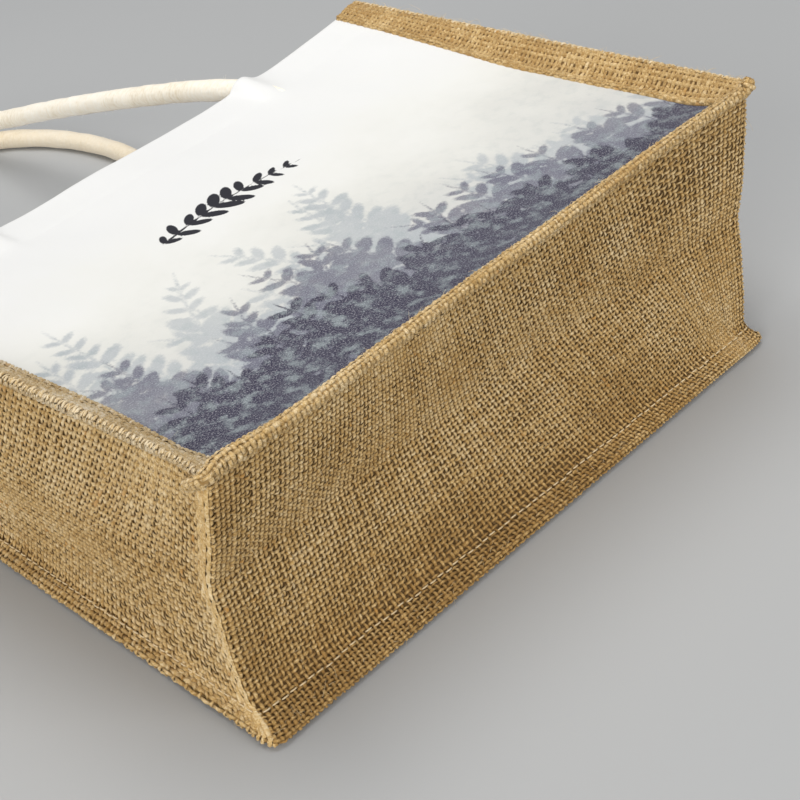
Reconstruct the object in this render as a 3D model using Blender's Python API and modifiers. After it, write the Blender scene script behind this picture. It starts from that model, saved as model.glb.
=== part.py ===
"""A burlap bag with a canvas front and two rope handles, lying on its back panel.

X runs across the bag, from the near side gusset to the far one. Y runs from the bottom panel to
the open mouth, and Z from the back panel, on the surface, up to the front. Lengths are in metres.
"""

import math
from collections import namedtuple

import bmesh
import bpy
from mathutils import Vector

MM = 0.001

# The bag's outside, without its seam flange and handles.
WIDTH = 300 * MM
HEIGHT = 224 * MM
DEPTH = 117 * MM

BURLAP = 1.8 * MM
CANVAS = 1.2 * MM
HEM = 22 * MM
HEM_LAYERS = 1.9
GAP = 0.4 * MM

# The seam flange stands out at the bottom only, so the body's middle lies off the frame's centre.
MIDDLE_Y = 3.3 * MM

HALF = WIDTH / 2
BOTTOM = MIDDLE_Y - HEIGHT / 2
MOUTH = MIDDLE_Y + HEIGHT / 2

# The gusset's top edge drops along the bottom panel, where the rolled binding takes its place.
ROLL_DROP = 3.4 * MM
ROLL_REACH = 14 * MM
CORNER_REACH = 5 * MM

# One row for each height of the gusset, from the flange that is sewn to the back panel up to the
# ridge. The other columns say how far the outer face lies inside the nominal box, in millimetres:
# the near side at the corner and at the mouth, the bottom panel at its near end, middle and far
# end, and the far side at the corner and at the mouth. The sixth row is the lengthwise crease.
GussetRow = namedtuple(
    "GussetRow",
    "height near_corner near_mouth bottom_near bottom_middle bottom_far far_corner far_mouth",
)
GUSSET_ROWS = [
    GussetRow(4.4, -5.0, 12.0, -6.0, -6.5, -6.5, 2.5, 11.0),
    GussetRow(5.4, -2.0, 15.0, 1.0, -1.5, -2.5, 2.0, 13.5),
    GussetRow(9.0, 0.5, 18.0, 11.0, 5.0, 1.5, 1.0, 16.0),
    GussetRow(26.0, 0.5, 17.0, 14.0, 8.5, 2.0, 0.5, 15.0),
    GussetRow(43.0, 0.5, 11.0, 15.0, 11.0, 2.5, 0.0, 10.0),
    GussetRow(59.0, 0.0, 5.0, 15.5, 12.5, 3.0, -0.5, 4.0),
    GussetRow(77.0, -0.5, 1.5, 9.5, 8.5, 1.0, -2.0, 0.0),
    GussetRow(95.0, -1.0, 0.0, 4.5, 4.0, 0.0, -3.5, -2.0),
    GussetRow(113.4, -1.5, -1.0, 0.0, 0.0, -1.5, -5.0, -4.5),
]
GUSSET_LEVELS = 15
SIDE_STATIONS = 17
CORNER_STATIONS = 4
BOTTOM_STATIONS = 25

# The front: the canvas is sunk between two burlap borders that slope up to the ridges. It rises to
# the binding at the bottom, slumps a little in the middle, and sags at the mouth but for the far
# corner, which stands up.
CANVAS_TOP = DEPTH - 6.5 * MM
CANVAS_NEAR = 9.5 * MM
CANVAS_FAR = 7.5 * MM
CANVAS_TUCK = 0.1 * MM
CANVAS_FOOT = 4.5 * MM
FOOT_RISE = 3.0 * MM
FOOT_REACH = 24 * MM
SLUMP = 1.2 * MM
MOUTH_SAG = 3.4 * MM
SAG_FROM = 0.35
FAR_LIFT = 6.5 * MM
FAR_LIFT_FROM = 0.45
RIPPLE = 0.5 * MM
RIPPLE_FROM = 0.6
BORDER_WIDTH = 13 * MM
BORDER_BOW = 3.0 * MM
BORDER_RISE_NEAR = 0.3 * MM
BORDER_RISE_FAR = 2.0 * MM
BORDER_LIES = 0.7

# The roll's centre line rises from the near corner to the far one, evenly spaced along it.
ROLL_RADIUS = 3.2 * MM
ROLL_HEIGHTS = [114.4, 114.0, 115.0, 115.9, 116.4, 117.0, 117.8, 118.2, 117.8]

ROPE = 10.5 * MM
ROPE_STEP = 14 * MM

# The points that each handle's centre line passes through, in millimetres from the body's middle,
# from the far end inside the bag, out over the surface, and back to the near end inside the bag.
FRONT_HANDLE = [
    (80, 82, 103.6),
    (81, 112, 103.5),
    (84, 160, 93),
    (89, 232, 72),
    (95, 300, 50),
    (98, 350, 33),
    (96, 381, 24.5),
    (86, 406, 18.5),
    (65, 429, 11.5),
    (34, 442, 5.9),
    (-3, 443, 5.6),
    (-37, 430, 5.6),
    (-68, 397, 8),
    (-86, 346, 22),
    (-92, 288, 45),
    (-91, 220, 72),
    (-86, 160, 91),
    (-82, 112, 99.4),
    (-81, 82, 99.8),
]
BACK_HANDLE = [
    (78, 68, 9.4),
    (80, 112, 9.2),
    (88, 152, 6.0),
    (106, 206, 5.5),
    (125, 258, 5.5),
    (134, 306, 5.5),
    (129, 352, 5.5),
    (109, 389, 5.5),
    (72, 412, 5.5),
    (28, 413, 5.5),
    (-20, 398, 5.5),
    (-60, 362, 5.5),
    (-86, 310, 5.5),
    (-97, 250, 5.5),
    (-96, 195, 5.5),
    (-88, 148, 6.2),
    (-81, 112, 9.2),
    (-81, 68, 9.4),
]

# Places along the rolled binding's near hook and far horn, in millimetres from the body's middle,
# with the roll's share of its full radius.
RollPoint = namedtuple("RollPoint", "x y z share")
ROLL_NEAR = [
    RollPoint(-153.9, -101.0, 107.0, 0.55),
    RollPoint(-154.3, -104.5, 109.4, 0.65),
    RollPoint(-154.6, -109.0, 112.0, 0.75),
    RollPoint(-153.0, -112.8, 114.0, 0.85),
]
ROLL_FAR = [
    RollPoint(151.8, -113.6, 117.6, 0.9),
    RollPoint(155.0, -115.2, 118.6, 0.75),
    RollPoint(156.1, -116.6, 119.8, 0.5),
]
ROLL_STATIONS = 22

COLOURS = {
    "burlap": (0.36, 0.25, 0.12),
    "canvas": (0.86, 0.85, 0.80),
    "rope": (0.80, 0.72, 0.58),
}
ROUGHNESS = 0.9


def start_empty():
    for old in list(bpy.data.objects):
        bpy.data.objects.remove(old)
    bag = bpy.data.collections.new("burlap_bag")
    bpy.context.scene.collection.children.link(bag)
    return bag


def make_material(name, colour):
    material = bpy.data.materials.new(name)
    material.use_nodes = True
    shader = material.node_tree.nodes["Principled BSDF"]
    shader.inputs["Base Color"].default_value = (*colour, 1.0)
    shader.inputs["Roughness"].default_value = ROUGHNESS
    shader.inputs["Metallic"].default_value = 0.0
    return material


def mix(a, b, share):
    return a + (b - a) * share


def ease(share):
    share = min(max(share, 0.0), 1.0)
    return share * share * (3 - 2 * share)


def catmull_rom(points, place):
    """A smooth line through the points; place runs from 0 to the last point's number."""
    last = len(points) - 1
    i = min(int(place), last - 1)
    t = place - i
    p0, p1, p2, p3 = (points[min(max(i + k, 0), last)] for k in (-1, 0, 1, 2))
    return [
        0.5 * (2 * b + (c - a) * t + (2 * a - 5 * b + 4 * c - d) * t**2 + (3 * (b - c) + d - a) * t**3)
        for a, b, c, d in zip(p0, p1, p2, p3)
    ]


def from_middle(place):
    """A place given in millimetres from the body's middle, in metres in the part's frame."""
    return Vector(place) * MM + Vector((0, MIDDLE_Y, 0))


def through_three(near, middle, far, share):
    """A parabola through a value at each end and one in the middle."""
    near_part = near * (1 - share) * (1 - 2 * share)
    return near_part + middle * 4 * share * (1 - share) + far * share * (2 * share - 1)


# ---- pieces made as a grid of points with the cloth's thickness ----


def make_sheet(bag, name, material, columns, rows, place, thickness, side, hem=None):
    """A sheet whose points are place(column, row). side is -1 to thicken it away from its normals
    and 1 along them; hem(column, row) says where the cloth is turned and stitched."""
    bm = bmesh.new()
    bmesh.ops.create_grid(bm, x_segments=columns, y_segments=rows, size=0.5)
    turned = []
    for vert in bm.verts:
        column = round((vert.co.x + 0.5) * columns)
        row = round((vert.co.y + 0.5) * rows)
        vert.co = place(column, row)
        if hem and hem(column, row):
            turned.append(vert.index)
    mesh = bpy.data.meshes.new(name)
    bm.to_mesh(mesh)
    bm.free()
    sheet = bpy.data.objects.new(name, mesh)
    bag.objects.link(sheet)
    mesh.materials.append(material)
    mesh.shade_smooth()
    solid = sheet.modifiers.new("thickness", "SOLIDIFY")
    solid.offset = side
    solid.use_even_offset = True
    solid.use_quality_normals = True
    if hem:
        group = sheet.vertex_groups.new(name="hem")
        group.add(turned, 1.0, "REPLACE")
        solid.vertex_group = group.name
        solid.thickness = thickness * HEM_LAYERS
        solid.thickness_vertex_group = 1 / HEM_LAYERS
    else:
        solid.thickness = thickness
    return sheet


def spread(low, high, count):
    return [mix(low, high, i / (count - 1)) for i in range(count)]


def hem_places(low, high, count):
    """Places from low to high, with a close pair where the hem's turned edge is stitched down."""
    inner = high - HEM
    return spread(low, inner - 0.5 * MM, count - 3) + [inner + 0.5 * MM, mix(inner, high, 0.5), high]


# ---- gusset: near side, bottom and far side in one strip ----


def gusset_row(place):
    return GussetRow(*(value * MM for value in catmull_rom(GUSSET_ROWS, place)))


def flange_outline():
    """The near side's, bottom's and far side's outermost line, where the back panel is sewn on."""
    return GussetRow(*(value * MM for value in GUSSET_ROWS[0]))


def side_x(row, y, near):
    """Where the near or far side's outer face lies, in X, at a place between bottom and mouth."""
    share = (y - BOTTOM) / HEIGHT
    if near:
        return -HALF + mix(row.near_corner, row.near_mouth, share)
    return HALF - mix(row.far_corner, row.far_mouth, share)


def bottom_y(row, x):
    share = (x + HALF) / WIDTH
    return BOTTOM + through_three(row.bottom_near, row.bottom_middle, row.bottom_far, share)


def turn(start, corner, end, share):
    """A soft corner: a parabola from start to end that leaves them towards the corner."""
    return start * (1 - share) ** 2 + corner * 2 * share * (1 - share) + end * share**2


def corner_point(row, near, share):
    """A point on the rounded corner between a side and the bottom, from the side to the bottom."""
    out = -1 if near else 1
    x = side_x(row, BOTTOM, near)
    corner = Vector((x, bottom_y(row, out * HALF), 0))
    on_side = Vector((side_x(row, corner.y + CORNER_REACH, near), corner.y + CORNER_REACH, 0))
    on_bottom = Vector((x - out * CORNER_REACH, bottom_y(row, out * (HALF - CORNER_REACH)), 0))
    return turn(on_side, corner, on_bottom, share)


def gusset_stations():
    """What each column of the gusset is: a piece of it and where on it."""
    side = hem_places(0.0, HEIGHT, SIDE_STATIONS)
    up = [value / HEIGHT for value in side]
    down = list(reversed(up))
    turning = [(i + 1) / (CORNER_STATIONS + 1) for i in range(CORNER_STATIONS)]
    along = spread(0.0, 1.0, BOTTOM_STATIONS)
    stations = [("near side", share) for share in down]
    stations += [("near corner", share) for share in turning]
    stations += [("bottom", share) for share in along]
    stations += [("far corner", 1 - share) for share in turning]
    stations += [("far side", share) for share in up]
    return stations


def gusset_point(station, level):
    piece, share = station
    row = gusset_row(level * (len(GUSSET_ROWS) - 1) / GUSSET_LEVELS)
    near = piece.startswith("near")
    if piece.endswith("side"):
        start = corner_point(row, near, 0.0).y
        y = mix(start, MOUTH, share)
        point = Vector((side_x(row, y, near), y, 0))
        towards_bottom = 1 - ease((y - start) / ROLL_REACH)
    elif piece.endswith("corner"):
        point = corner_point(row, near, share)
        towards_bottom = 1.0
    else:
        start = corner_point(row, True, 1.0)
        end = corner_point(row, False, 1.0)
        x = mix(start.x, end.x, share)
        point = Vector((x, bottom_y(row, x), 0))
        towards_bottom = 1.0
    top_half = ease((row.height - DEPTH / 2) / (DEPTH / 2))
    point.z = row.height - ROLL_DROP * towards_bottom * top_half
    return point


def make_gusset(bag, material):
    stations = gusset_stations()
    hemmed = {0, 1, 2, len(stations) - 3, len(stations) - 2, len(stations) - 1}

    def place(column, row):
        return gusset_point(stations[column], row)

    def hem(column, row):
        return column in hemmed and row > 3

    last = len(stations) - 1
    return make_sheet(bag, "gusset", material, last, GUSSET_LEVELS, place, BURLAP, -1, hem)


# ---- back panel ----


def make_back_panel(bag, material):
    columns = 14
    edge = flange_outline()
    places = hem_places(0.0, HEIGHT, 12)

    def place(column, row):
        across = column / columns
        foot = bottom_y(edge, mix(-HALF, HALF, across))
        y = mix(foot, MOUTH, places[row] / HEIGHT)
        x = mix(side_x(edge, y, True), side_x(edge, y, False), across)
        return Vector((x, y, 0.0))

    def hem(column, row):
        return row >= len(places) - 3 and 1 < column < columns - 1

    rows = len(places) - 1
    return make_sheet(bag, "back_panel", material, columns, rows, place, BURLAP, 1, hem)


# ---- front: canvas, its two burlap borders, and the rolled binding along the bottom ----


def canvas_height(x, y):
    """The canvas's outer face: sunk between the borders, higher at the bottom, sagging at the mouth."""
    across = x / HALF
    up = (y - BOTTOM) / HEIGHT
    middle = max(0.0, 1 - across**2)
    foot = FOOT_RISE * (1 - ease((y - BOTTOM) / FOOT_REACH))
    slump = SLUMP * middle * ease(2 * up) * ease(2 - 2 * up)
    sag = MOUTH_SAG * middle**0.7 * ease((up - SAG_FROM) / (1 - SAG_FROM))
    lift = FAR_LIFT * ease(1.18 * across - 0.06) * ease((up - FAR_LIFT_FROM) / (1 - FAR_LIFT_FROM))
    ripple = RIPPLE * math.sin(9 * across + 2) * ease((up - RIPPLE_FROM) / (1 - RIPPLE_FROM)) * middle
    return CANVAS_TOP + foot - slump - sag + lift + ripple


def make_canvas(bag, material):
    columns = 26
    low = BOTTOM + CANVAS_FOOT
    places = hem_places(low, MOUTH, 20)

    def place(column, row):
        x = mix(-HALF + CANVAS_NEAR, HALF - CANVAS_FAR, column / columns)
        y = places[row]
        edge = 1.0 if column in (0, columns) else 0.0
        return Vector((x, y, canvas_height(x, y) - CANVAS_TUCK * edge))

    def hem(column, row):
        return row >= len(places) - 3 and 0 < column < columns

    rows = len(places) - 1
    return make_sheet(bag, "front_canvas", material, columns, rows, place, CANVAS, -1, hem)


def make_border(bag, material, near):
    """A burlap border: from the stitched ridge, over the gusset's edge, down onto the canvas."""
    columns = 5
    rows = 20
    ridge_row = gusset_row(len(GUSSET_ROWS) - 1)
    inward = 1 if near else -1

    def place(column, row):
        across = column / columns if near else 1 - column / columns
        up = row / rows
        y = mix(BOTTOM + CORNER_REACH + GAP, MOUTH, up)
        ridge = side_x(ridge_row, y, near) - inward * 0.6 * MM
        width = BORDER_WIDTH + BORDER_BOW * math.sin(math.pi * up)
        x = ridge + inward * width * across
        low = canvas_height(x, y) + BURLAP + GAP
        crest = DEPTH + (BORDER_RISE_NEAR if near else BORDER_RISE_FAR * (1 - 0.5 * up))
        slope = mix(crest, low, ease(across * 0.9))
        return Vector((x, y, low if across > BORDER_LIES else slope))

    name = "side_border_near" if near else "side_border_far"
    return make_sheet(bag, name, material, columns, rows, place, BURLAP, -1)


def make_tube(bag, name, material, points, radius, shares=None):
    """A tube along a run of points, closed at both ends."""
    curve = bpy.data.curves.new(name, "CURVE")
    curve.dimensions = "3D"
    curve.bevel_depth = radius
    curve.bevel_resolution = 3
    curve.use_fill_caps = True
    spline = curve.splines.new("POLY")
    spline.points.add(len(points) - 1)
    for i, point in enumerate(points):
        spline.points[i].co = (*point, 1.0)
        if shares:
            spline.points[i].radius = shares[i]
    spline.use_smooth = True
    tube = bpy.data.objects.new(name, curve)
    bag.objects.link(tube)
    curve.materials.append(material)
    return tube


def make_bottom_binding(bag, material):
    """The rolled binding: a hook over the near side, a run along the bottom's edge, and a horn."""
    line = [(from_middle(p[:3]), p.share) for p in ROLL_NEAR]
    ridge_row = gusset_row(len(GUSSET_ROWS) - 1)
    for x in spread(-HALF + CORNER_REACH, HALF - CORNER_REACH, ROLL_STATIONS):
        along = (x + HALF) / WIDTH * (len(ROLL_HEIGHTS) - 1)
        height = catmull_rom([(value,) for value in ROLL_HEIGHTS], along)[0] * MM
        line.append((Vector((x, bottom_y(ridge_row, x), height)), 1.0))
    line += [(from_middle(p[:3]), p.share) for p in ROLL_FAR]
    points = [point for point, share in line]
    shares = [share for point, share in line]
    return make_tube(bag, "bottom_binding", material, points, ROLL_RADIUS, shares)


# ---- rope handles ----


def rope_line(route):
    """Evenly spaced points on a smooth line through a handle's route."""
    steps = 12
    fine = [from_middle(catmull_rom(route, i / steps)) for i in range((len(route) - 1) * steps + 1)]
    travelled = [0.0]
    for a, b in zip(fine, fine[1:]):
        travelled.append(travelled[-1] + (b - a).length)
    count = round(travelled[-1] / ROPE_STEP) + 1
    line = []
    i = 0
    for target in spread(0.0, travelled[-1], count):
        while i < len(fine) - 2 and travelled[i + 1] < target:
            i += 1
        share = (target - travelled[i]) / (travelled[i + 1] - travelled[i])
        line.append(fine[i].lerp(fine[i + 1], share))
    return line


def make_handles(bag, material):
    make_tube(bag, "handle_front", material, rope_line(FRONT_HANDLE), ROPE / 2)
    make_tube(bag, "handle_back", material, rope_line(BACK_HANDLE), ROPE / 2)


def main():
    bag = start_empty()
    materials = {name: make_material(name, colour) for name, colour in COLOURS.items()}
    make_back_panel(bag, materials["burlap"])
    make_gusset(bag, materials["burlap"])
    make_canvas(bag, materials["canvas"])
    make_border(bag, materials["burlap"], near=True)
    make_border(bag, materials["burlap"], near=False)
    make_bottom_binding(bag, materials["burlap"])
    make_handles(bag, materials["rope"])


main()
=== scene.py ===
import math

import bpy
import numpy as np
from mathutils import Matrix, Vector


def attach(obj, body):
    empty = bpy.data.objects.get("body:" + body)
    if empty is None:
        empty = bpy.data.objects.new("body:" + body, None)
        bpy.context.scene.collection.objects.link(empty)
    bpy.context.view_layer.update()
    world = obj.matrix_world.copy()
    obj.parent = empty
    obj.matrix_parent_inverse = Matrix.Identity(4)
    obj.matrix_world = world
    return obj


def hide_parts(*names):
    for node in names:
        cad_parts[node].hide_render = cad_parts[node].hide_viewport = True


# A burlap bag with a printed canvas front and two rope handles, lying on its back.
# X runs across the bag, Y from its bottom to its open mouth, Z up. Lengths are in metres.

mm = 0.001
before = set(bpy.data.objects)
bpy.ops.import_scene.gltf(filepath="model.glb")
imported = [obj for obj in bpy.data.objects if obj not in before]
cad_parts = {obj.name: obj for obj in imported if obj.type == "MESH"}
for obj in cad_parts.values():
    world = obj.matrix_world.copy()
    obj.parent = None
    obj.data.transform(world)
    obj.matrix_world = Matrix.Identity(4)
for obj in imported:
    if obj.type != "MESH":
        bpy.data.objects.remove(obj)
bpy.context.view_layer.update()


def mix(a, b, share):
    return a + (b - a) * share


def ease(share):
    share = np.clip(share, 0.0, 1.0)
    return share * share * (3 - 2 * share)


def hump(place, middle, width, power=2):
    # 1 in the middle, falling to 0 on both sides
    return np.exp(-(((place - middle) / width) ** power))


def turnRound(past, radius):
    # cloth that turns over an edge and runs back below it: how far it goes on, comes back and drops
    angle = np.clip(past / radius, 0, np.pi)
    return radius * np.sin(angle), np.maximum(past - np.pi * radius, 0), radius * (1 - np.cos(angle))


def throughPoints(points, place):
    # a smooth line through the points; place runs from 0 to the last point's number
    points = np.asarray(points, float)
    last = len(points) - 1
    place = np.clip(np.asarray(place, float), 0, last)
    i = np.minimum(place.astype(int), last - 1)
    t = (place - i)[..., None]
    a, b, c, d = (points[np.clip(i + k, 0, last)] for k in (-1, 0, 1, 2))
    return 0.5 * (2 * b + (c - a) * t + (2 * a - 5 * b + 4 * c - d) * t**2 + (3 * (b - c) + d - a) * t**3)


def softNoise(x, y, seed):
    # smooth values from -1 to 1 over a plane, one cell for each unit
    table = np.random.default_rng(seed).uniform(-1, 1, 65536)
    column, row = np.floor(x).astype(int), np.floor(y).astype(int)
    across, up = ease(x - column), ease(y - row)

    def corner(right, above):
        return table[((column + right) * 7919 + (row + above) * 104729) % 65536]

    return mix(mix(corner(0, 0), corner(1, 0), across), mix(corner(0, 1), corner(1, 1), across), up)


def unit(vectors):
    return vectors / np.maximum(np.linalg.norm(vectors, axis=-1, keepdims=True), 1e-12)


def lengthsAlong(points):
    # how far each point of a line lies from its start
    return np.concatenate([[0], np.cumsum(np.linalg.norm(np.diff(points, axis=0), axis=1))])


def evenLine(points, step):
    # the points of a line again, evenly spaced
    travelled = lengthsAlong(points)
    places = np.linspace(0, travelled[-1], round(travelled[-1] / step) + 1)
    return np.stack([np.interp(places, travelled, points[:, k]) for k in range(3)], -1)


def lineWays(line):
    # at each point of a line the way it runs, the level way to its side and the way up
    runs = unit(np.gradient(line, axis=0))
    side = unit(np.cross(runs, [0, 0, 1.0]))
    return runs, side, np.cross(side, runs)


def aroundLine(side, lift, turn):
    return side * np.cos(turn) + lift * np.sin(turn)


def gridFaces(rows, columns):
    i, j = np.meshgrid(np.arange(rows - 1), np.arange(columns - 1), indexing="ij")
    a = i * columns + j
    return np.stack([a, a + 1, a + columns + 1, a + columns], -1).reshape(-1, 4)


def tubeFaces(rings, sides):
    i, j = np.meshgrid(np.arange(rings - 1), np.arange(sides), indexing="ij")
    a, b = i * sides + j, i * sides + (j + 1) % sides
    return np.stack([a, b, b + sides, a + sides], -1).reshape(-1, 4)


def manyFaces(faces, count, points):
    # the same faces for many parts that have so many points each
    return (faces[None] + (np.arange(count) * points)[:, None, None]).reshape(-1, 4)


def gridNormals(points):
    # outward for a grid whose columns run along and whose rows run up
    along = np.gradient(points, axis=1)
    up = np.gradient(points, axis=0)
    return unit(np.cross(along, up))


def addObject(name, data):
    added = bpy.data.objects.new(name, data)
    bpy.context.scene.collection.objects.link(added)
    return added


def newPiece(name, points, faces, *materials):
    mesh = bpy.data.meshes.new(name)
    mesh.from_pydata(np.asarray(points).reshape(-1, 3).tolist(), [], np.asarray(faces).tolist())
    for material in materials:
        mesh.materials.append(material)
    mesh.shade_smooth()
    piece = addObject(name, mesh)
    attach(piece, "root")
    return piece


def setValues(piece, name, values):
    # a number for each point, which a material reads by its name
    held = piece.data.attributes.new(name, "FLOAT", "POINT")
    held.data.foreach_set("value", np.asarray(values, np.float32).ravel())


def setPlaces(piece, name, across, along):
    # a UV map with the given place at each point
    held = piece.data.uv_layers.new(name=name)
    corner = np.zeros(len(piece.data.loops), np.int32)
    piece.data.loops.foreach_get("vertex_index", corner)
    places = np.stack([np.ravel(across)[corner], np.ravel(along)[corner]], -1)
    held.data.foreach_set("uv", places.astype(np.float32).ravel())


def thicken(piece, thickness, innerMaterial):
    solid = piece.modifiers.new("thickness", "SOLIDIFY")
    solid.thickness = thickness
    solid.offset = -1
    solid.use_quality_normals = True
    solid.material_offset = innerMaterial


def put(tree, kind, sockets=None, **settings):
    # a shader node whose sockets are linked or set
    made = tree.nodes.new("ShaderNode" + kind)
    for key, value in settings.items():
        setattr(made, key, value)
    for key, value in (sockets or {}).items():
        if isinstance(value, bpy.types.NodeSocket):
            tree.links.new(value, made.inputs[key])
        else:
            made.inputs[key].default_value = value
    return made


def calc(tree, operation, *values):
    return put(tree, "Math", dict(enumerate(values)), operation=operation).outputs[0]


def blend(tree, share, a, b, way="MIX"):
    # each colour is a socket, or its red, green and blue
    a, b = ((*colour, 1.0) if isinstance(colour, tuple) else colour for colour in (a, b))
    return put(tree, "Mix", {0: share, 6: a, 7: b}, data_type="RGBA", blend_type=way).outputs[2]


def ramp(tree, value, *stops):
    node = put(tree, "ValToRGB", {0: value})
    elements = node.color_ramp.elements
    while len(elements) < len(stops):
        elements.new(1.0)
    for element, (place, colour) in zip(elements, stops):
        element.position = place
        element.color = (*colour, 1.0)
    return node.outputs[0]


def remap(tree, value, low, high, toLow=0.0, toHigh=1.0):
    sockets = {0: value, 1: low, 2: high, 3: toLow, 4: toHigh}
    return put(tree, "MapRange", sockets, interpolation_type="SMOOTHSTEP").outputs[0]


def vary(tree, swinging, share, base):
    # the base, moved up and down by a noise that swings round one half
    return calc(tree, "MULTIPLY_ADD", calc(tree, "SUBTRACT", swinging, 0.5), share, base)


def noise(tree, vector, scale, detail=2.0, roughness=0.5):
    sockets = {"Vector": vector, "Scale": scale, "Detail": detail, "Roughness": roughness}
    return put(tree, "TexNoise", sockets).outputs[0]


def bodyNoise(tree, scale, detail):
    return noise(tree, put(tree, "TexCoord").outputs["Object"], scale, detail)


def value(tree, name):
    return put(tree, "Attribute", attribute_name=name).outputs["Fac"]


def placeIn(tree, name):
    return put(tree, "UVMap", uv_map=name).outputs[0]


def split(tree, vector):
    return put(tree, "SeparateXYZ", {0: vector}).outputs


def newGroup(name, inputs, outputs):
    tree = bpy.data.node_groups.new(name, "ShaderNodeTree")
    for label, kind, start in inputs:
        socket = tree.interface.new_socket(label, in_out="INPUT", socket_type="NodeSocket" + kind)
        if start is not None:
            socket.default_value = start
    for label, kind in outputs:
        tree.interface.new_socket(label, in_out="OUTPUT", socket_type="NodeSocket" + kind)
    return tree, tree.nodes.new("NodeGroupInput").outputs, tree.nodes.new("NodeGroupOutput").inputs


def useGroup(tree, group, sockets):
    return put(tree, "Group", sockets, node_tree=group).outputs


def newMaterial(name, roughness, sheen=0.0):
    material = bpy.data.materials.new(name)
    material.use_nodes = True
    shader = material.node_tree.nodes["Principled BSDF"]
    shader.inputs["Roughness"].default_value = roughness
    shader.inputs["Specular IOR Level"].default_value = 0.25
    shader.inputs["Sheen Weight"].default_value = sheen
    shader.inputs["Sheen Roughness"].default_value = 0.5
    return material, material.node_tree, shader.inputs


def setSurface(tree, shader, colour, height, distance, strength=1.0):
    # the colour, and small forms that stand up as high as the distance
    tree.links.new(colour, shader["Base Color"])
    sockets = {"Height": height, "Distance": distance, "Strength": strength}
    tree.links.new(put(tree, "Bump", sockets).outputs[0], shader["Normal"])


# fibres that run along a yarn and turn round it
def makeFibreGroup():
    tree, given, out = newGroup(
        "yarn fibres",
        [("Across", "Float", 0.0), ("Along", "Float", 0.0), ("Yarn", "Float", 0.0),
         ("Fineness", "Float", 6.0), ("Twist", "Float", 1.0)],
        [("Shade", "Float"), ("Height", "Float")],
    )
    slanted = calc(tree, "MULTIPLY_ADD", given["Along"], given["Twist"], given["Across"])
    place = put(tree, "CombineXYZ", {
        0: calc(tree, "MULTIPLY", slanted, given["Fineness"]),
        1: calc(tree, "MULTIPLY", given["Along"], 1.5),
        2: calc(tree, "MULTIPLY", given["Yarn"], 53.0),
    }).outputs[0]
    strands = noise(tree, place, 1.0, 3.0, 0.6)
    tree.links.new(strands, out["Shade"])
    tree.links.new(remap(tree, strands, 0.3, 0.7), out["Height"])
    return tree


# a plain weave from places counted in yarns: how high the cloth is, and where its holes are
def makeWeaveGroup():
    tree, given, out = newGroup(
        "plain weave",
        [("Place", "Vector", None), ("Yarn Width", "Float", 0.4), ("Swing", "Float", 0.4)],
        [("Height", "Float"), ("Gap", "Float"), ("Cell", "Float")],
    )
    parts = split(tree, given["Place"])
    heights = []
    for across, along, sign in ((parts[0], parts[1], 1.0), (parts[1], parts[0], -1.0)):
        fromMiddle = calc(tree, "SUBTRACT", calc(tree, "FRACT", across), 0.5)
        aside = calc(tree, "POWER", calc(tree, "DIVIDE", fromMiddle, given["Yarn Width"]), 2.0)
        back = calc(tree, "SQRT", calc(tree, "MAXIMUM", calc(tree, "SUBTRACT", 1.0, aside), 0.0))
        turn = calc(tree, "ADD", calc(tree, "SUBTRACT", along, 0.5), calc(tree, "FLOOR", across))
        wave = calc(tree, "COSINE", calc(tree, "MULTIPLY", turn, math.pi))
        wave = calc(tree, "MULTIPLY", wave, calc(tree, "MULTIPLY", given["Swing"], sign))
        beside = calc(tree, "LESS_THAN", back, 0.01)
        heights.append(calc(tree, "SUBTRACT", calc(tree, "ADD", back, wave), beside))
    height = calc(tree, "MAXIMUM", *heights)
    tree.links.new(remap(tree, height, -0.6, 1.4), out["Height"])
    tree.links.new(remap(tree, height, 0.25, -0.1), out["Gap"])
    cell = put(tree, "VectorMath", {0: given["Place"]}, operation="FLOOR").outputs[0]
    tree.links.new(put(tree, "TexWhiteNoise", {0: cell}).outputs["Value"], out["Cell"])
    return tree


fibreGroup = makeFibreGroup()
weaveGroup = makeWeaveGroup()

# from the deep places between the yarns, painted shade, up to the pale tops
juteColours = {
    "deep": (0.190, 0.098, 0.022),
    "dark": (0.400, 0.226, 0.066),
    "middle": (0.665, 0.436, 0.166),
    "light": (0.890, 0.700, 0.405),
    "rust": (0.560, 0.280, 0.065),
    "faded": (0.70, 0.77, 1.0),        # dims the others where the cloth has faded
    "shadeDark": (0.085, 0.045, 0.014),     # the dark sheet under the yarns: painted shade
    "shadeLight": (0.230, 0.140, 0.055),
}
juteLook = {
    "fibres": {"Fineness": 2.8, "Twist": 0.8},
    "fibreShare": 2.2,        # how strongly the fibres change the colour
    "patches": 28.0,          # in a metre
    "patchShare": 0.5,
    "paintedShadeShare": 0.93,        # how strong the painted shade between the yarns is
    "relief": 0.12 * mm,
    "coat": 900.0,            # rough places in a metre of the dark sheet of painted shade under the yarns
    "coatRelief": 0.3 * mm,
    "bend": (0.35, 0.5),      # of the inner cloth's yarns: bends in a yarn, and how far they go
    "weave": {"Yarn Width": 0.40, "Swing": 0.45},
    "hair": (7.0, 0.8, 0.15), # hairs in a yarn, how strongly they change the colour and the height
    "clothTone": (0.35, 0.35),     # from one crossing to another, and the darkest
    # how dark the inner cloth's gaps are: painted shade
    "clothGapShade": 0.85,
    "clothRelief": 0.9 * mm,
}


def juteRamp(tree, shade):
    stops = ((0.0, "dark"), (0.45, "middle"), (1.0, "light"))
    return ramp(tree, shade, *[(place, juteColours[name]) for place, name in stops])


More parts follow.
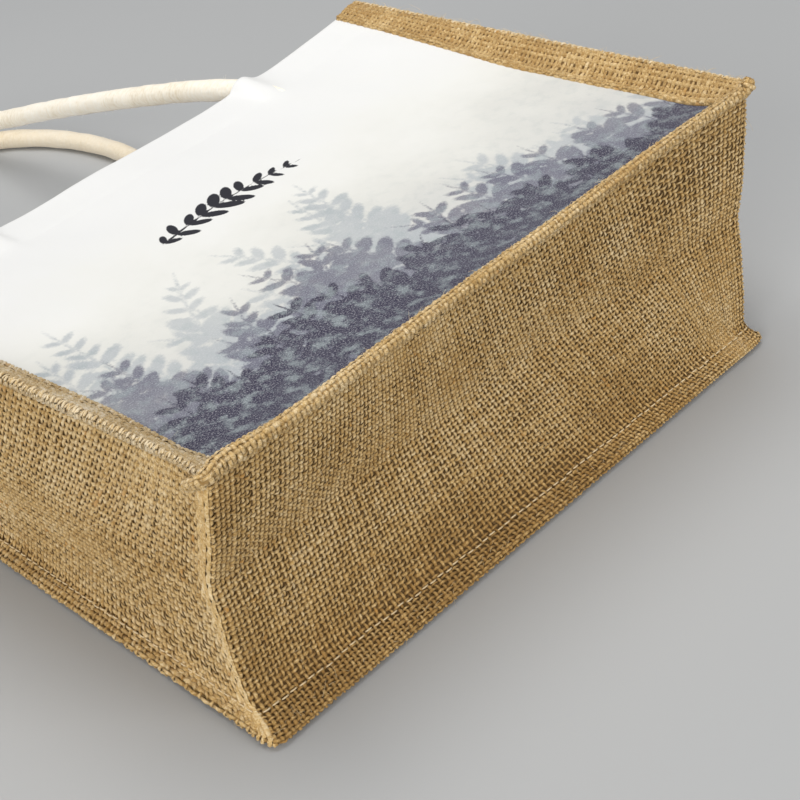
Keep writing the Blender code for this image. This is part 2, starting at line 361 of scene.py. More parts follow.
def makeJuteYarn():
    material, tree, shader = newMaterial("jute yarn", 0.80, 0.22)
    shader["Sheen Tint"].default_value = (1.0, 0.88, 0.66, 1.0)
    place = split(tree, placeIn(tree, "yarn"))
    tone = value(tree, "tone")
    sockets = {"Across": place[0], "Along": place[1], "Yarn": tone, **juteLook["fibres"]}
    fibres = useGroup(tree, fibreGroup, sockets)
    shade = vary(tree, fibres["Shade"], juteLook["fibreShare"], tone)
    shade = vary(tree, bodyNoise(tree, juteLook["patches"], 3.0), juteLook["patchShare"], shade)
    colour = juteRamp(tree, shade)
    colour = blend(tree, value(tree, "rust"), colour, juteColours["rust"])
    colour = blend(tree, value(tree, "faded"), colour, juteColours["faded"], "MULTIPLY")
    # painted shade: towards the deep colour where the yarns dip and along their edges
    sunk = remap(tree, value(tree, "sunk"), 0.12, 0.85)
    colour = blend(tree, calc(tree, "MULTIPLY", sunk, juteLook["paintedShadeShare"]), colour, juteColours["deep"])
    tree.links.new(remap(tree, fibres["Shade"], 0.3, 0.8, 0.9, 0.6), shader["Roughness"])
    setSurface(tree, shader, colour, fibres["Height"], juteLook["relief"], 0.8)
    return material


# a dark sheet that shows deep between the yarns: painted shade
def makeJuteShade():
    material, tree, shader = newMaterial("jute painted shade between yarns", 0.95)
    coat = bodyNoise(tree, juteLook["coat"], 2.0)
    colour = ramp(tree, coat, (0.35, juteColours["shadeDark"]), (0.75, juteColours["shadeLight"]))
    setSurface(tree, shader, colour, coat, juteLook["coatRelief"])
    return material


# burlap seen from inside the bag and from below
def makeJuteCloth():
    material, tree, shader = newMaterial("jute cloth", 0.85, 0.1)
    look, counted = juteLook, placeIn(tree, "cloth")
    often, far = look["bend"]
    bend = put(tree, "TexNoise", {"Vector": counted, "Scale": often, "Detail": 1.0}).outputs["Color"]
    slip = put(tree, "VectorMath", {0: bend, "Scale": far}, operation="SCALE").outputs[0]
    moved = put(tree, "VectorMath", {0: counted, 1: slip}, operation="ADD").outputs[0]
    weave = useGroup(tree, weaveGroup, {"Place": moved, **look["weave"]})
    often, inColour, inHeight = look["hair"]
    hair = noise(tree, counted, often, 3.0, 0.6)
    tone = calc(tree, "MULTIPLY_ADD", weave["Cell"], *look["clothTone"])
    colour = juteRamp(tree, vary(tree, hair, inColour, tone))
    # painted shade in the weave's gaps
    colour = blend(tree, calc(tree, "MULTIPLY", weave["Gap"], look["clothGapShade"]), colour, juteColours["deep"])
    height = calc(tree, "MULTIPLY_ADD", hair, inHeight, weave["Height"])
    setSurface(tree, shader, colour, height, look["clothRelief"])
    return material


juteYarn = makeJuteYarn()
juteShade = makeJuteShade()
juteCloth = makeJuteCloth()
print("burlap finishes ready")


# the view that the bag is shown from
cameraLook = {
    "place": (-0.4316, -0.5113, 0.4461),
    "lens": 83.57,        # millimetres
    "turn": -42.38,       # degrees, as are the next two
    "height": 33.02,
    "roll": -9.83,
}


def makeCamera():
    turn, height, roll = (math.radians(cameraLook[key]) for key in ("turn", "height", "roll"))
    back = Vector((math.sin(turn) * math.cos(height), -math.cos(turn) * math.cos(height), math.sin(height)))
    right = Vector((math.cos(turn), math.sin(turn), 0))
    up = back.cross(right)
    rolledRight = right * math.cos(roll) + up * math.sin(roll)
    rolledUp = up * math.cos(roll) - right * math.sin(roll)
    data = bpy.data.cameras.new("camera")
    data.lens = cameraLook["lens"]
    data.sensor_width = 36
    data.clip_start = 0.01
    camera = addObject("camera", data)
    turned = Matrix((rolledRight, rolledUp, back)).transposed().to_4x4()
    camera.matrix_world = Matrix.Translation(cameraLook["place"]) @ turned
    bpy.context.scene.camera = camera


studio = {
    "reach": 6,           # half the floor's width
    "floor": (0.415, 0.418, 0.415),
    "air": (0.62, 0.63, 0.65),
    "airStrength": 0.51,
    "lamps": [            # name, place, size, watts
        ("overhead", (0.12, 0.22, 1.5), 1.1, 16.4),
        ("left", (-3.1, -1.1, 1.24), 1.8, 73.0),
        ("front", (0.4, -1.5, 0.8), 0.9, 8.0),
    ],
}


def makeStudio():
    mesh = bpy.data.meshes.new("floor")
    reach = studio["reach"]
    corners = [(-reach, -reach, 0), (reach, -reach, 0), (reach, reach, 0), (-reach, reach, 0)]
    mesh.from_pydata(corners, [], [(0, 1, 2, 3)])
    material, _, shader = newMaterial("floor", 0.7)
    shader["Base Color"].default_value = (*studio["floor"], 1.0)
    mesh.materials.append(material)
    floor = addObject("floor", mesh)
    world = bpy.data.worlds.new("air")
    world.use_nodes = True
    glow = world.node_tree.nodes["Background"].inputs
    glow[0].default_value = (*studio["air"], 1.0)
    glow[1].default_value = studio["airStrength"]
    bpy.context.scene.world = world
    for name, place, size, watts in studio["lamps"]:
        light = bpy.data.lights.new(name, "AREA")
        light.size = size
        light.energy = watts
        lamp = addObject(name, light)
        lamp.location = place
        lamp.rotation_euler = (-Vector(place)).to_track_quat("-Z", "Y").to_euler()
    bpy.context.scene.view_settings.view_transform = "Standard"


makeCamera()
makeStudio()
print("camera, light and floor ready")


# the bag's own sizes, as its solids have them
bag = {
    "width": 300 * mm,
    "height": 224 * mm,
    "depth": 117 * mm,
    "middleY": 3.3 * mm,
    "burlap": 1.8 * mm,
    "hem": 22 * mm,
    "gap": 0.2 * mm,
    "cornerReach": 5 * mm,
}
half = bag["width"] / 2
bottomY = bag["middleY"] - bag["height"] / 2
mouthY = bag["middleY"] + bag["height"] / 2


# how burlap is woven
weaveLook = {
    "halfWidth": 0.30,        # of a yarn, as a share of the pitch
    "round": 0.55 * mm,       # how far a yarn's back stands over its edges
    "swing": 0.52 * mm,       # how far it rises and dips over the crossings
    "sunk": 0.92 * mm,        # its middle line below the cloth's face
    "wander": 0.20,           # how far it strays sideways, in pitches
    "uneven": 0.26,           # how much thicker one yarn is than another
    "swell": 0.10,            # how much its thickness changes along it
    # thick and rust-coloured places: how strong, above which value of their noise, over what range
    "slub": (0.40, 0.72, 0.20),
    "rust": (0.80, 0.83, 0.12),
    "angles": [180, 120, 60, 0],     # of the points across its back
    "dips": 0.8,              # painted shade where it dips under another
    "edges": 0.55,            # and painted shade along its edges
    "tone": 0.5,
    "toneApart": 0.04,        # from one yarn to another
    "toneSwing": 0.20,        # along a yarn
    "cloud": (0.13, 11, 77),  # paler places in all the yarns: how much paler, their size in pitches, seed
    # soft noise along the yarns: its length in pitches, its step from yarn to yarn, its seed
    "noises": {
        "stray": (6, 3.7, 0),
        "swell": (3, 5.1, 1),
        "slub": (7, 9.3, 2),
        "tone": (2.2, 2.3, 3),
        "rust": (2.5, 7.7, 4),
        "grain": (0.9, 6.1, 6),
    },
}


# what one weave can have otherwise
plainWays = {
    "fullness": 1.0,          # how wide the yarns are
    "depth": 1.0,             # how strong the painted shade between them is
    "swing": 1.0,             # how far they rise and dip
    "upStep": 1.0,            # from one lengthwise yarn to the next, in pitches
    "overAt": None,           # where the upright yarns lie over the others
    "toneAt": None,           # where the cloth is paler or darker
    "faded": 0.0,             # how much greyer and duller
}


def yarnRun(surfaceAt, crosswise, alongs, ups, seed, ways):
    # the open backs of one set of yarns: points, faces and what the material reads
    look = weaveLook
    own, other = (alongs, ups) if crosswise else (ups, alongs)
    number = np.arange(own[0], own[1])[:, None]
    place = (np.arange(2 * other[0], 2 * other[1] + 1) / 2)[None, :]

    def noiseOf(kind):
        every, apart, more = look["noises"][kind]
        return softNoise(place / every, number * apart, seed + more)

    def spots(kind):
        strength, start, reach = look[kind]
        return strength * ease((noiseOf(kind) - start) / reach)

    beside = number + 0.5 + noiseOf("stray") * look["wander"]
    place = place + 0 * beside
    along, up = (beside, place) if crosswise else (place, beside)
    points = surfaceAt(along * pitch, up * pitch * ways["upStep"])
    runs = np.gradient(points, axis=1)
    aside = np.gradient(points, axis=0)
    normal = unit(np.cross(aside, runs) if crosswise else np.cross(runs, aside))
    side = np.cross(unit(runs), normal)
    parity = np.where(number % 2 == 0, 1.0, -1.0)
    sign = 1 if crosswise else -1
    wave = np.cos(np.pi * (place - 0.5)) * parity * sign
    over = ways["overAt"](along, up) if ways["overAt"] else 0 * wave
    wave = np.clip(wave + sign * over, -1 - 0.3 * over, 1)
    rng = np.random.default_rng(seed)
    thick = 1 + look["uneven"] * rng.normal(0, 0.5, number.shape) + look["swell"] * noiseOf("swell")
    thick = thick + spots("slub")
    angles = np.radians(look["angles"])
    if crosswise:
        thick = thick + 0.25 * over
    fullness = ways["fullness"] * (1 if crosswise else ways["upStep"] ** 0.6)
    wide = look["halfWidth"] * fullness * pitch * thick[..., None] * np.cos(angles)
    swing = look["swing"] * ways["swing"] * wave[..., None]
    tall = swing - look["sunk"] + look["round"] * thick[..., None] * np.sin(angles)
    rings = points[..., None, :] + side[..., None, :] * wide[..., None]
    rings = rings + normal[..., None, :] * tall[..., None]
    count, steps, across = rings.shape[:3]
    faces = manyFaces(gridFaces(steps, across), count, steps * across)
    tone = look["tone"] + look["toneApart"] * rng.normal(0, 1, number.shape)
    tone = tone + look["toneSwing"] * (noiseOf("tone") + noiseOf("grain"))
    paler, size, cloudSeed = look["cloud"]
    tone = tone + paler * softNoise(along / size, up / size, cloudSeed)
    if ways["toneAt"]:
        tone = tone + ways["toneAt"](along, up)
    # painted shade: darker where a yarn dips under another and along its edges, less where it lies over
    sunk = look["dips"] * (1 - wave[..., None]) / 2 + look["edges"] * (1 - np.sin(angles))
    sunk = sunk * ways["depth"]
    if crosswise:
        sunk = sunk * (1 - 0.6 * np.maximum(over, 0)[..., None])
    full = np.ones(rings.shape[:3])
    facts = {
        "tone": tone[..., None] * full,
        "rust": spots("rust")[..., None] * full,
        "sunk": sunk * full,
        "faded": ways["faded"] * full,
        "across": np.linspace(0, 1, across) * full,
        "along": (place + number * 3.3)[..., None] * full,
    }
    return rings, faces, facts


def weave(name, surfaceAt, alongs, ups, seed, **ways):
    # a piece of yarns both ways over the surface; alongs and ups are its first and last yarn
    ways = {**plainWays, **ways}
    first, firstFaces, facts = yarnRun(surfaceAt, True, alongs, ups, seed, ways)
    second, secondFaces, moreFacts = yarnRun(surfaceAt, False, alongs, ups, seed + 50, ways)
    points = np.concatenate([first.reshape(-1, 3), second.reshape(-1, 3)])
    faces = np.concatenate([firstFaces, secondFaces + first.size // 3])
    piece = newPiece(name, points, faces, juteYarn)
    both = {key: np.concatenate([facts[key].ravel(), moreFacts[key].ravel()]) for key in facts}
    for key in ("tone", "rust", "sunk", "faded"):
        setValues(piece, key, both[key])
    setPlaces(piece, "yarn", both["across"], both["along"])
    return piece


def backing(name, surfaceAt, alongs, ups, columns, rows, sunk=1.15 * mm, thickness=0.6 * mm):
    # the cloth's thin body under its yarns, dark on its outer side as painted shade between them, with its
    # own weave on the inner side
    along, up = np.meshgrid(np.linspace(*alongs, columns), np.linspace(*ups, rows))
    points = surfaceAt(along * pitch, up * pitch)
    points = points - gridNormals(points) * sunk
    piece = newPiece(name, points, gridFaces(rows, columns), juteShade, juteCloth)
    setPlaces(piece, "cloth", along, up)
    thicken(piece, thickness, 1)
    return piece


# the near side, the bottom and the far side are one strip
gusset = {
    # height, then how far the face lies inside the nominal box, in millimetres: the near side at the
    # corner and at the mouth, the bottom's near end, middle and far end, the far side likewise
    "rows": [
        (4.4, -5.0, 12.0, -6.0, -6.5, -6.5, 2.5, 11.0),
        (5.4, -2.0, 15.0, 1.0, -1.5, -2.5, 2.0, 13.5),
        (9.0, 0.5, 18.0, 11.0, 5.0, 1.5, 1.0, 16.0),
        (26.0, 0.5, 17.0, 14.0, 8.5, 2.0, 0.5, 15.0),
        (43.0, 0.5, 11.0, 15.0, 11.0, 2.5, 0.0, 10.0),
        (59.0, 0.0, 5.0, 15.5, 12.5, 3.0, -0.5, 4.0),
        (77.0, -0.5, 1.5, 9.5, 8.5, 1.0, -2.0, 0.0),
        (95.0, -1.0, 0.0, 4.5, 4.0, 0.0, -3.5, -2.0),
        (113.4, -1.5, -1.0, 0.0, 0.0, -1.5, -5.0, -4.5),
    ],
    "side": 214 * mm,         # the cloth's length along a side, a corner and the bottom
    "corner": 8.1 * mm,
    "base": 290 * mm,
    # the height where the bottom meets the rolled binding, from near to far, in millimetres
    "rollMeets": [112.6, 112.4, 113.3, 114.2, 114.6, 115.2, 116.0, 116.6, 116.0],
    "rollDrop": 3.4 * mm,     # how far the upper edge is drawn down there
    "rollReach": 14 * mm,     # and how far along the sides
    "rollRows": (5.6, 2.4),   # from which row up it is fitted to the roll, and over how many rows
    "up": 117.8 * mm,         # the cloth's length from the flange's edge to the ridge
    "yarnsUp": {"side": 36, "bottom": 58},
    "looks": {"side": {"fullness": 1.06, "depth": 0.88, "faded": 0.10}, "bottom": {}},
    "yarnsAlong": 324,
    "nearYarns": 96,          # of them on the near side, and as many on the far side
    "hemYarns": 12,
    "edge": 1.1 * mm,         # how far the corners' folds stand out
    "edgeWidth": 2.4 * mm,
    "underEdge": 6.0 * mm,    # cloth round the flange's edge and under it
    "edgeRound": 1.9 * mm,
    "hemRound": 1.5 * mm,
    "lowest": 1.75 * mm,      # over the floor, so that the yarns underneath stay above it
    "underRidge": {"near": 2.2 * mm, "far": 3.6 * mm},   # how far the sides go on up inside the ridges
    # how far upright yarns lean towards the near corner, as a share of their rise, how many yarns from
    # the corner the lean starts, and over how many it grows and fades
    "leanNear": (0.55, 0, 30, 34),
    "leanBase": (0.50, 22, 55, 26),
    "pinch": 2.4 * mm,        # how far the cloth is drawn towards the near corner
    "pinchReach": 9 * mm,
    "crease": 0.6 * mm,       # how much deeper the lengthwise fold is pressed
    "creasePlace": (5.0, 0.22),    # its row and how many rows wide it is
    "wavy": 0.5 * mm,         # low waves over the whole cloth
    "waves": (38 * mm, 30 * mm),   # their length along and up
    "calm": (0.2, 0.15),      # the shares of the height where they fade, at the flange and at the ridge
    "fineness": {"table": (120, 161), "cloth": (240, 50)},   # steps along and up
    # beside the near corner's fold the yarns are pressed flat: how much, how many of them and over how
    # many it fades, how much paler they are
    "pressed": (0.85, 4.5, 2, 0.12),
    # the bottom's lower part is darker, painted shade: how much, up to which share of the height, over what
    # share it fades, and over how many yarns towards the far side
    "lowShade": (-0.32, 0.42, 0.35, 60),
}
gussetTotal = 2 * gusset["side"] + 2 * gusset["corner"] + gusset["base"]
pitch = gussetTotal / gusset["yarnsAlong"]     # from one yarn to the next, about 11 to the inch
gussetUp = gusset["up"]


def sideX(row, y, near):
    # where a side's face lies; row holds the inward distances from gusset["rows"]
    share = (y - bottomY) / bag["height"]
    nearX, farX = mix(row[..., 1], row[..., 2], share) - half, half - mix(row[..., 6], row[..., 7], share)
    return np.where(near, nearX, farX)


def baseY(row, x):
    # where the bottom's face lies, bent through its near end, middle and far end
    share = (x + half) / bag["width"]
    nearPart = row[..., 3] * (1 - share) * (1 - 2 * share)
    return bottomY + nearPart + row[..., 4] * 4 * share * (1 - share) + row[..., 5] * share * (2 * share - 1)


def cornerPlace(row, near, share):
    # the rounded corner between a side and the bottom; share runs from the side to the bottom
    reach = bag["cornerReach"]
    out = np.where(near, -1.0, 1.0)
    x, y = sideX(row, bottomY, near), baseY(row, out * half)
    start, corner, end = (1 - share) ** 2, 2 * share * (1 - share), share**2
    onSide, onBase = sideX(row, y + reach, near), baseY(row, out * (half - reach))
    turnedX = onSide * start + x * corner + (x - out * reach) * end
    return turnedX, (y + reach) * start + y * corner + onBase * end


def gussetFace(along, place):
    # along is in metres from the near mouth edge, place runs from 0 at the flange to 8 at the ridge
    row = throughPoints(gusset["rows"], place) * mm
    near = along < gussetTotal / 2
    own = np.where(near, along, gussetTotal - along)
    away = np.maximum(gusset["side"] - own, 0) / gusset["pinchReach"]
    drawn = gusset["pinch"] * near * ease((place - 1) / 3) * away * np.exp(1 - away)
    own = np.where(own < gusset["side"], own + drawn, own)
    startY = cornerPlace(row, near, 0.0)[1]
    y = mix(startY, mouthY, 1 - own / gusset["side"])
    x = sideX(row, y, near)
    towards = 1 - ease((y - startY) / gusset["rollReach"])
    turned = own > gusset["side"]
    cornerX, cornerY = cornerPlace(row, near, np.clip((own - gusset["side"]) / gusset["corner"], 0, 1))
    onBase = own > gusset["side"] + gusset["corner"]
    share = np.clip((along - gusset["side"] - gusset["corner"]) / gusset["base"], 0, 1)
    alongX = mix(cornerPlace(row, True, 1.0)[0], cornerPlace(row, False, 1.0)[0], share)
    x = np.where(onBase, alongX, np.where(turned, cornerX, x))
    y = np.where(onBase, baseY(row, alongX), np.where(turned, cornerY, y))
    towards = np.where(turned, 1.0, towards)
    height = row[..., 0]
    z = height - gusset["rollDrop"] * towards * ease((height - bag["depth"] / 2) / (bag["depth"] / 2))
    return np.stack([x, y, z], -1)


def gussetPlaces():
    # how far up the rows each even step of cloth lies, for a run of columns
    along, up = gusset["fineness"]["table"]
    columns, places = np.linspace(0, gussetTotal, along), np.linspace(0, len(gusset["rows"]) - 1, up)
    points = gussetFace(*np.meshgrid(columns, places, indexing="ij"))
    travelled = [lengthsAlong(line) for line in points]
    return np.array([np.interp(np.linspace(0, 1, up), line / line[-1], places) for line in travelled])


gussetTable = gussetPlaces()


def lookUp(table, column, row):
    # a value in between those of the table, for places from 0 to 1 both ways
    lastColumn, lastRow = table.shape[0] - 1, table.shape[1] - 1
    column, row = np.clip(column, 0, 1) * lastColumn, np.clip(row, 0, 1) * lastRow
    i, j = np.minimum(column.astype(int), lastColumn - 1), np.minimum(row.astype(int), lastRow - 1)
    low, high = (mix(table[i, j + k], table[i + 1, j + k], column - i) for k in (0, 1))
    return mix(low, high, row - j)


def outward(along):
    # the level direction that the gusset faces
    farCorner = gusset["side"] + gusset["corner"] + gusset["base"]
    turns = [ease((along - start) / gusset["corner"]) for start in (gusset["side"], farCorner)]
    angle = np.pi + (turns[0] + turns[1]) * np.pi / 2
    return np.stack([np.cos(angle), np.sin(angle), 0 * angle], -1)


def toRoll(inside, point):
    # how far the upper edge goes on up: on the bottom to the rolled binding, on a side into its ridge
    share = np.clip((point[..., 0] + half) / bag["width"], 0, 1) * (len(gusset["rollMeets"]) - 1)
    meets = throughPoints(np.array(gusset["rollMeets"])[:, None], share)[..., 0] * mm
    middle = gussetTotal / 2
    onBase = ease((gusset["base"] / 2 + gusset["corner"] - np.abs(inside - middle)) / gusset["corner"])
    onSide = np.where(inside < middle, gusset["underRidge"]["near"], gusset["underRidge"]["far"])
    return mix(onSide, meets - gusset["rows"][-1][0] * mm + gusset["rollDrop"], onBase)


def leaning(along, up):
    # how far the upright yarns have slipped along the strip, as loose burlap does
    strip, corner = along / pitch, gusset["nearYarns"]

    def lean(kind, start, end):
        share, after, grows, fades = gusset[kind]
        return ease((strip - start - after) / grows) * ease((end - strip) / fades) * share

    onNear, onBase = lean("leanNear", 0, corner), lean("leanBase", corner, gusset["yarnsAlong"] - corner)
    return (onNear - onBase) * (up - gussetUp / 2)


def gussetAt(along, up):
    along = along + leaning(along, np.clip(up, 0, gussetUp))
    inside = np.clip(along, 0, gussetTotal)
    share = np.clip(up / gussetUp, 0, 1)
    place = lookUp(gussetTable, inside / gussetTotal, share)
    point = gussetFace(inside, place)
    soft = ease(share / gusset["calm"][0]) * ease((1 - share) / gusset["calm"][1])
    depth = gusset["wavy"] * softNoise(inside / gusset["waves"][0], up / gusset["waves"][1], 5) * soft
    creaseRow, creaseWidth = gusset["creasePlace"]
    depth = depth - gusset["crease"] * np.exp(-np.abs(place - creaseRow) / creaseWidth)
    corner = gusset["side"] + gusset["corner"] / 2
    fold = hump(inside, corner, gusset["edgeWidth"]) + hump(inside, gussetTotal - corner, gusset["edgeWidth"])
    depth = depth + gusset["edge"] * fold * soft
    point = point + outward(inside) * depth[..., None]
    first, over = gusset["rollRows"]
    point[..., 2] += toRoll(inside, point) * ease((place - first) / over)
    past = np.abs(along - inside)
    if np.any(past > 0):
        point = point + hemTurn(inside, place, past)
    goesOn, back, drop = turnRound(np.maximum(-up, 0), gusset["edgeRound"])
    point = point + outward(inside) * (goesOn - back)[..., None]
    point[..., 2] = np.maximum(point[..., 2] - drop, gusset["lowest"])
    return point


def hemTurn(inside, place, past):
    # the cloth turns round the mouth edge and runs back inside
    rise = unit(gussetFace(inside, place + 0.05) - gussetFace(inside, place - 0.05))
    toMouth = np.array([0, 1.0, 0])
    normal = np.cross(np.where((inside < gussetTotal / 2)[..., None], -toMouth, toMouth), rise)
    goesOn, back, drop = turnRound(past, gusset["hemRound"])
    return toMouth * (goesOn - back)[..., None] - normal * drop[..., None]


def makeGusset():
    hem, near, total = gusset["hemYarns"], gusset["nearYarns"], gusset["yarnsAlong"]
    ups = (-gusset["underEdge"] / pitch, gussetUp / pitch)
    cloth = backing("gussetCloth", gussetAt, (-hem, total + hem), ups, *gusset["fineness"]["cloth"])
    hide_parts("gusset")

    # the cloth is pressed flat and pale beside the near corner's fold, and darker low on the bottom as
    # painted shade
    def pressed(along, up):
        flat, reach, fades = gusset["pressed"][:3]
        return flat * ease((along - near + reach) / fades) + 0 * up

    def nearTone(along, up):
        return gusset["pressed"][3] * pressed(along, up)

    def bottomShade(along, up):
        lowShade, below, fades, farFades = gusset["lowShade"]
        low = ease((below - up / gusset["yarnsUp"]["bottom"]) / fades)
        return lowShade * low * ease((total - near - along) / farFades)

    for name, alongs, kind, seed, overAt, toneAt in (
        ("nearSideYarns", (-hem, near), "side", 11, pressed, nearTone),
        ("bottomYarns", (near, total - near), "bottom", 12, None, bottomShade),
        ("farSideYarns", (total - near, total + hem), "side", 13, None, None),
    ):
        count = gusset["yarnsUp"][kind]
        step = gussetUp / (count * pitch)
        rows = (-round(gusset["underEdge"] / (step * pitch)), count)
        weave(
            name, gussetAt, alongs, rows, seed, upStep=step, overAt=overAt, toneAt=toneAt,
            **gusset["looks"][kind],
        )


makeGusset()
print("gusset woven")


backPanel = {
    "inset": 0.1 * mm,        # inside the gusset's turned edge
    "curl": 1.7 * mm,         # its sewn edges rise into the seam
    "curlReach": 9 * mm,
    "low": 0.3 * mm,          # its middle over the floor
    "hem": 24 * mm,
    "thick": 1.2 * mm,
    "steps": 90,
}


def backPanelAt(across, up):
    edge = np.asarray(gusset["rows"][0]) * mm
    share = across / bag["width"]
    inside = np.minimum(up, bag["height"])
    y = mix(baseY(edge, mix(-half, half, share)), mouthY, inside / bag["height"])
    inset = backPanel["inset"]
    y = y + inset * (1 - inside / bag["height"])
    x = mix(sideX(edge, y, True) + inset, sideX(edge, y, False) - inset, share)
    goesOn, back, rise = turnRound(up - inside, gusset["hemRound"])
    toEdge = np.minimum(np.minimum(across, bag["width"] - across), up)
    curl = backPanel["curl"] * (1 - ease(toEdge / backPanel["curlReach"]))
    return np.stack([x, y + goesOn - back, backPanel["low"] + curl + rise], -1)


def makeBackPanel():
    steps, flat = backPanel["steps"], (bag["width"], bag["height"] + backPanel["hem"])
    across, up = np.meshgrid(*(np.linspace(0, size, steps) for size in flat))
    points = backPanelAt(across, up)
    points = points + gridNormals(points) * 1.0 * mm
    piece = newPiece("backPanelCloth", points, gridFaces(steps, steps), juteCloth)
    setPlaces(piece, "cloth", across / pitch, up / pitch)
    thicken(piece, backPanel["thick"], 0)
    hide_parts("back_panel")


makeBackPanel()
print("back panel ready")


canvas = {
    "top": 110.5 * mm,        # its height
    "near": 5.5 * mm,         # its edges, inside the nominal box
    "far": 7.5 * mm,
    "foot": 4.5 * mm,
    "footRise": 3.0 * mm,     # up to the rolled binding
    "footReach": 24 * mm,
    "slump": 1.2 * mm,        # of the middle
    "sag": 3.4 * mm,          # towards the mouth
    "sagFrom": 0.35,          # from this share of the height on
    "lift": 6.5 * mm,         # of the far mouth corner
    "liftFrom": 0.45,
    "ripple": 0.5 * mm,
    "rippleFrom": 0.6,
    "tuck": 0.1 * mm,         # its edges go down under the borders
    "tuckReach": 6 * mm,
    "step": 1.1 * mm,         # from one point to the next
    "hemRound": 0.9 * mm,
    # low wrinkles: depth, length across and up, slant, seed; they fade towards the edges
    "wrinkles": [(0.30 * mm, 46 * mm, 26 * mm, 0.4, 3), (0.15 * mm, 13 * mm, 19 * mm, 0.0, 4)],
    "wrinkleFade": 12 * mm,
    "hemLine": (0.08 * mm, 1.4 * mm),   # how deep and wide the line along the hem's lower edge is
    "hemStep": (0.1 * mm, 6 * mm),      # how much the hem is thicker, and over what length
    # how far the mouth edge hangs below the straight pull, every 25 mm across, in millimetres
    "mouthDrop": [0.0, 1.2, 2.0, 2.6, 2.5, 1.9, 1.6, 1.6, 2.6, 3.4, 4.3, 2.6, 0.5],
    "dropReach": 85 * mm,
    # over the ends of the rope: where and how high, how wide towards the middle and outwards
    "swells": [(-78.5 * mm, 3.4 * mm), (76.5 * mm, 4.4 * mm)],
    "swellWidths": (6.5 * mm, 6.2 * mm),
    "swellReach": 34 * mm,
}


def canvasHeight(x, y):
    # its height as the solid has it
    across, up = x / half, (y - bottomY) / bag["height"]
    middle = np.maximum(0, 1 - across**2)

    def late(start):
        return ease((up - canvas[start]) / (1 - canvas[start]))

    foot = canvas["footRise"] * (1 - ease((y - bottomY) / canvas["footReach"]))
    slump = canvas["slump"] * middle * ease(2 * up) * ease(2 - 2 * up)
    sag = canvas["sag"] * middle**0.7 * late("sagFrom")
    lift = canvas["lift"] * ease(1.18 * across - 0.06) * late("liftFrom")
    ripple = canvas["ripple"] * np.sin(9 * across + 2) * late("rippleFrom")
    return canvas["top"] + foot - slump - sag + lift + ripple * middle


def canvasFace(x, y):
    # the same height with the cloth's small forms on it
    z = canvasHeight(x, y)
    fade = canvas["wrinkleFade"]
    inner = ease((half - canvas["near"] + x) / fade) * ease((half - canvas["far"] - x) / fade)
    for depth, long, high, slant, seed in canvas["wrinkles"]:
        z = z + inner * depth * softNoise((x + slant * y) / long, y / high, seed)
    line, (deep, wide), (thicker, reach) = mouthY - bag["hem"], canvas["hemLine"], canvas["hemStep"]
    z = z - deep * hump(y, line, wide) + thicker * ease((y - line) / reach)
    drops = np.array(canvas["mouthDrop"])[:, None] * mm
    drop = throughPoints(drops, (x + half) / bag["width"] * (len(drops) - 1))[..., 0]
    z = z - drop * ease((y - mouthY + canvas["dropReach"]) / canvas["dropReach"])
    for middle, rise in canvas["swells"]:
        inwards = (x - middle) * middle < 0
        toMiddle, outwards = canvas["swellWidths"]
        shape = np.where(inwards, hump(x, middle, toMiddle, 4), hump(x, middle, outwards))
        z = z + rise * shape * ease((y - mouthY + canvas["swellReach"]) / canvas["swellReach"]) ** 1.5
    return z


def canvasAt(x, up):
    # up is in metres of cloth from the binding, past the mouth edge and back inside
    low = bottomY + canvas["foot"]
    y = np.minimum(low + up, mouthY)
    goesOn, back, drop = turnRound(low + up - y, canvas["hemRound"])
    toEdge = np.minimum(x + half - canvas["near"], half - canvas["far"] - x)
    tuck = canvas["tuck"] * (1 - ease(toEdge / canvas["tuckReach"]))
    return np.stack([x + 0 * y, y + goesOn - back, canvasFace(x, y - back) - tuck - drop], -1)


printLook = {
    # each layer: sprigs, their height at the near and the far half in millimetres, where they start, seed
    "layers": {
        "back": (24, 108, 62, 0, 21),
        "middle": (32, 86, 46, -4, 22),
        "front": (36, 55, 34, -6, 23),
    },
    # how the sprigs differ: shares of their height, millimetres at the foot, radians of lean and bend
    "heights": (0.72, 1.18),
    "feet": 6,
    "leans": 0.22,
    "bends": 0.7,
    "leanOut": 0.18,          # radians that the outermost ones lean away from the middle
    "leaf": 17.0,             # millimetres
    "slim": 0.21,             # half a leaf's width as a share of its length
    "apart": 8.5,             # from one pair of leaves to the next
    "emblem": (-6.0, 34.0),   # middle of the small sprig, towards the mouth
    "emblemLong": 80.0,
    "emblemTurn": (1.35, 0.42),    # radians at its foot, and its bend
    "emblemLeaf": 11.5,
    "emblemApart": 8.0,
    "outside": -3.0,          # what a field holds away from its leaves
    "cotton": (0.735, 0.73, 0.71),
    "cottonLow": (0.72, 0.705, 0.625),    # towards the binding
    "mist": (0.30, 0.31, 0.36),
    "mistWeight": 0.6,
    # how ragged and how soft the leaves' edges are, how strong the ink is, its colour
    "inks": {
        "back": (1.3, 0.9, 0.62, (0.33, 0.36, 0.385)),
        "middle": (1.0, 0.6, 0.82, (0.110, 0.108, 0.150)),
        "front": (0.8, 0.4, 0.94, (0.030, 0.026, 0.052)),
    },
    "emblemInk": (0.022, 0.022, 0.028),
    "mottle": (0.31, 0.36, 0.36),         # greyer patches in the ink
    "mottleWeight": 0.55,
    "bare": (0.74, 0.74, 0.76),           # specks that the ink has missed
    "bareWeight": 0.42,
    "holes": (0.30, 0.29, 0.27),          # painted shade between the threads
    "holesWeight": 0.12,
    "threads": 1333.0,        # in a metre
}


def span(values, middle, reach):
    # which of the even values lie within reach of the middle
    step = values[1] - values[0]
    first, last = (int((middle + way * (reach + 3) - values[0]) / step) for way in (-1, 1))
    return slice(max(first, 0), max(last + 2, 0))


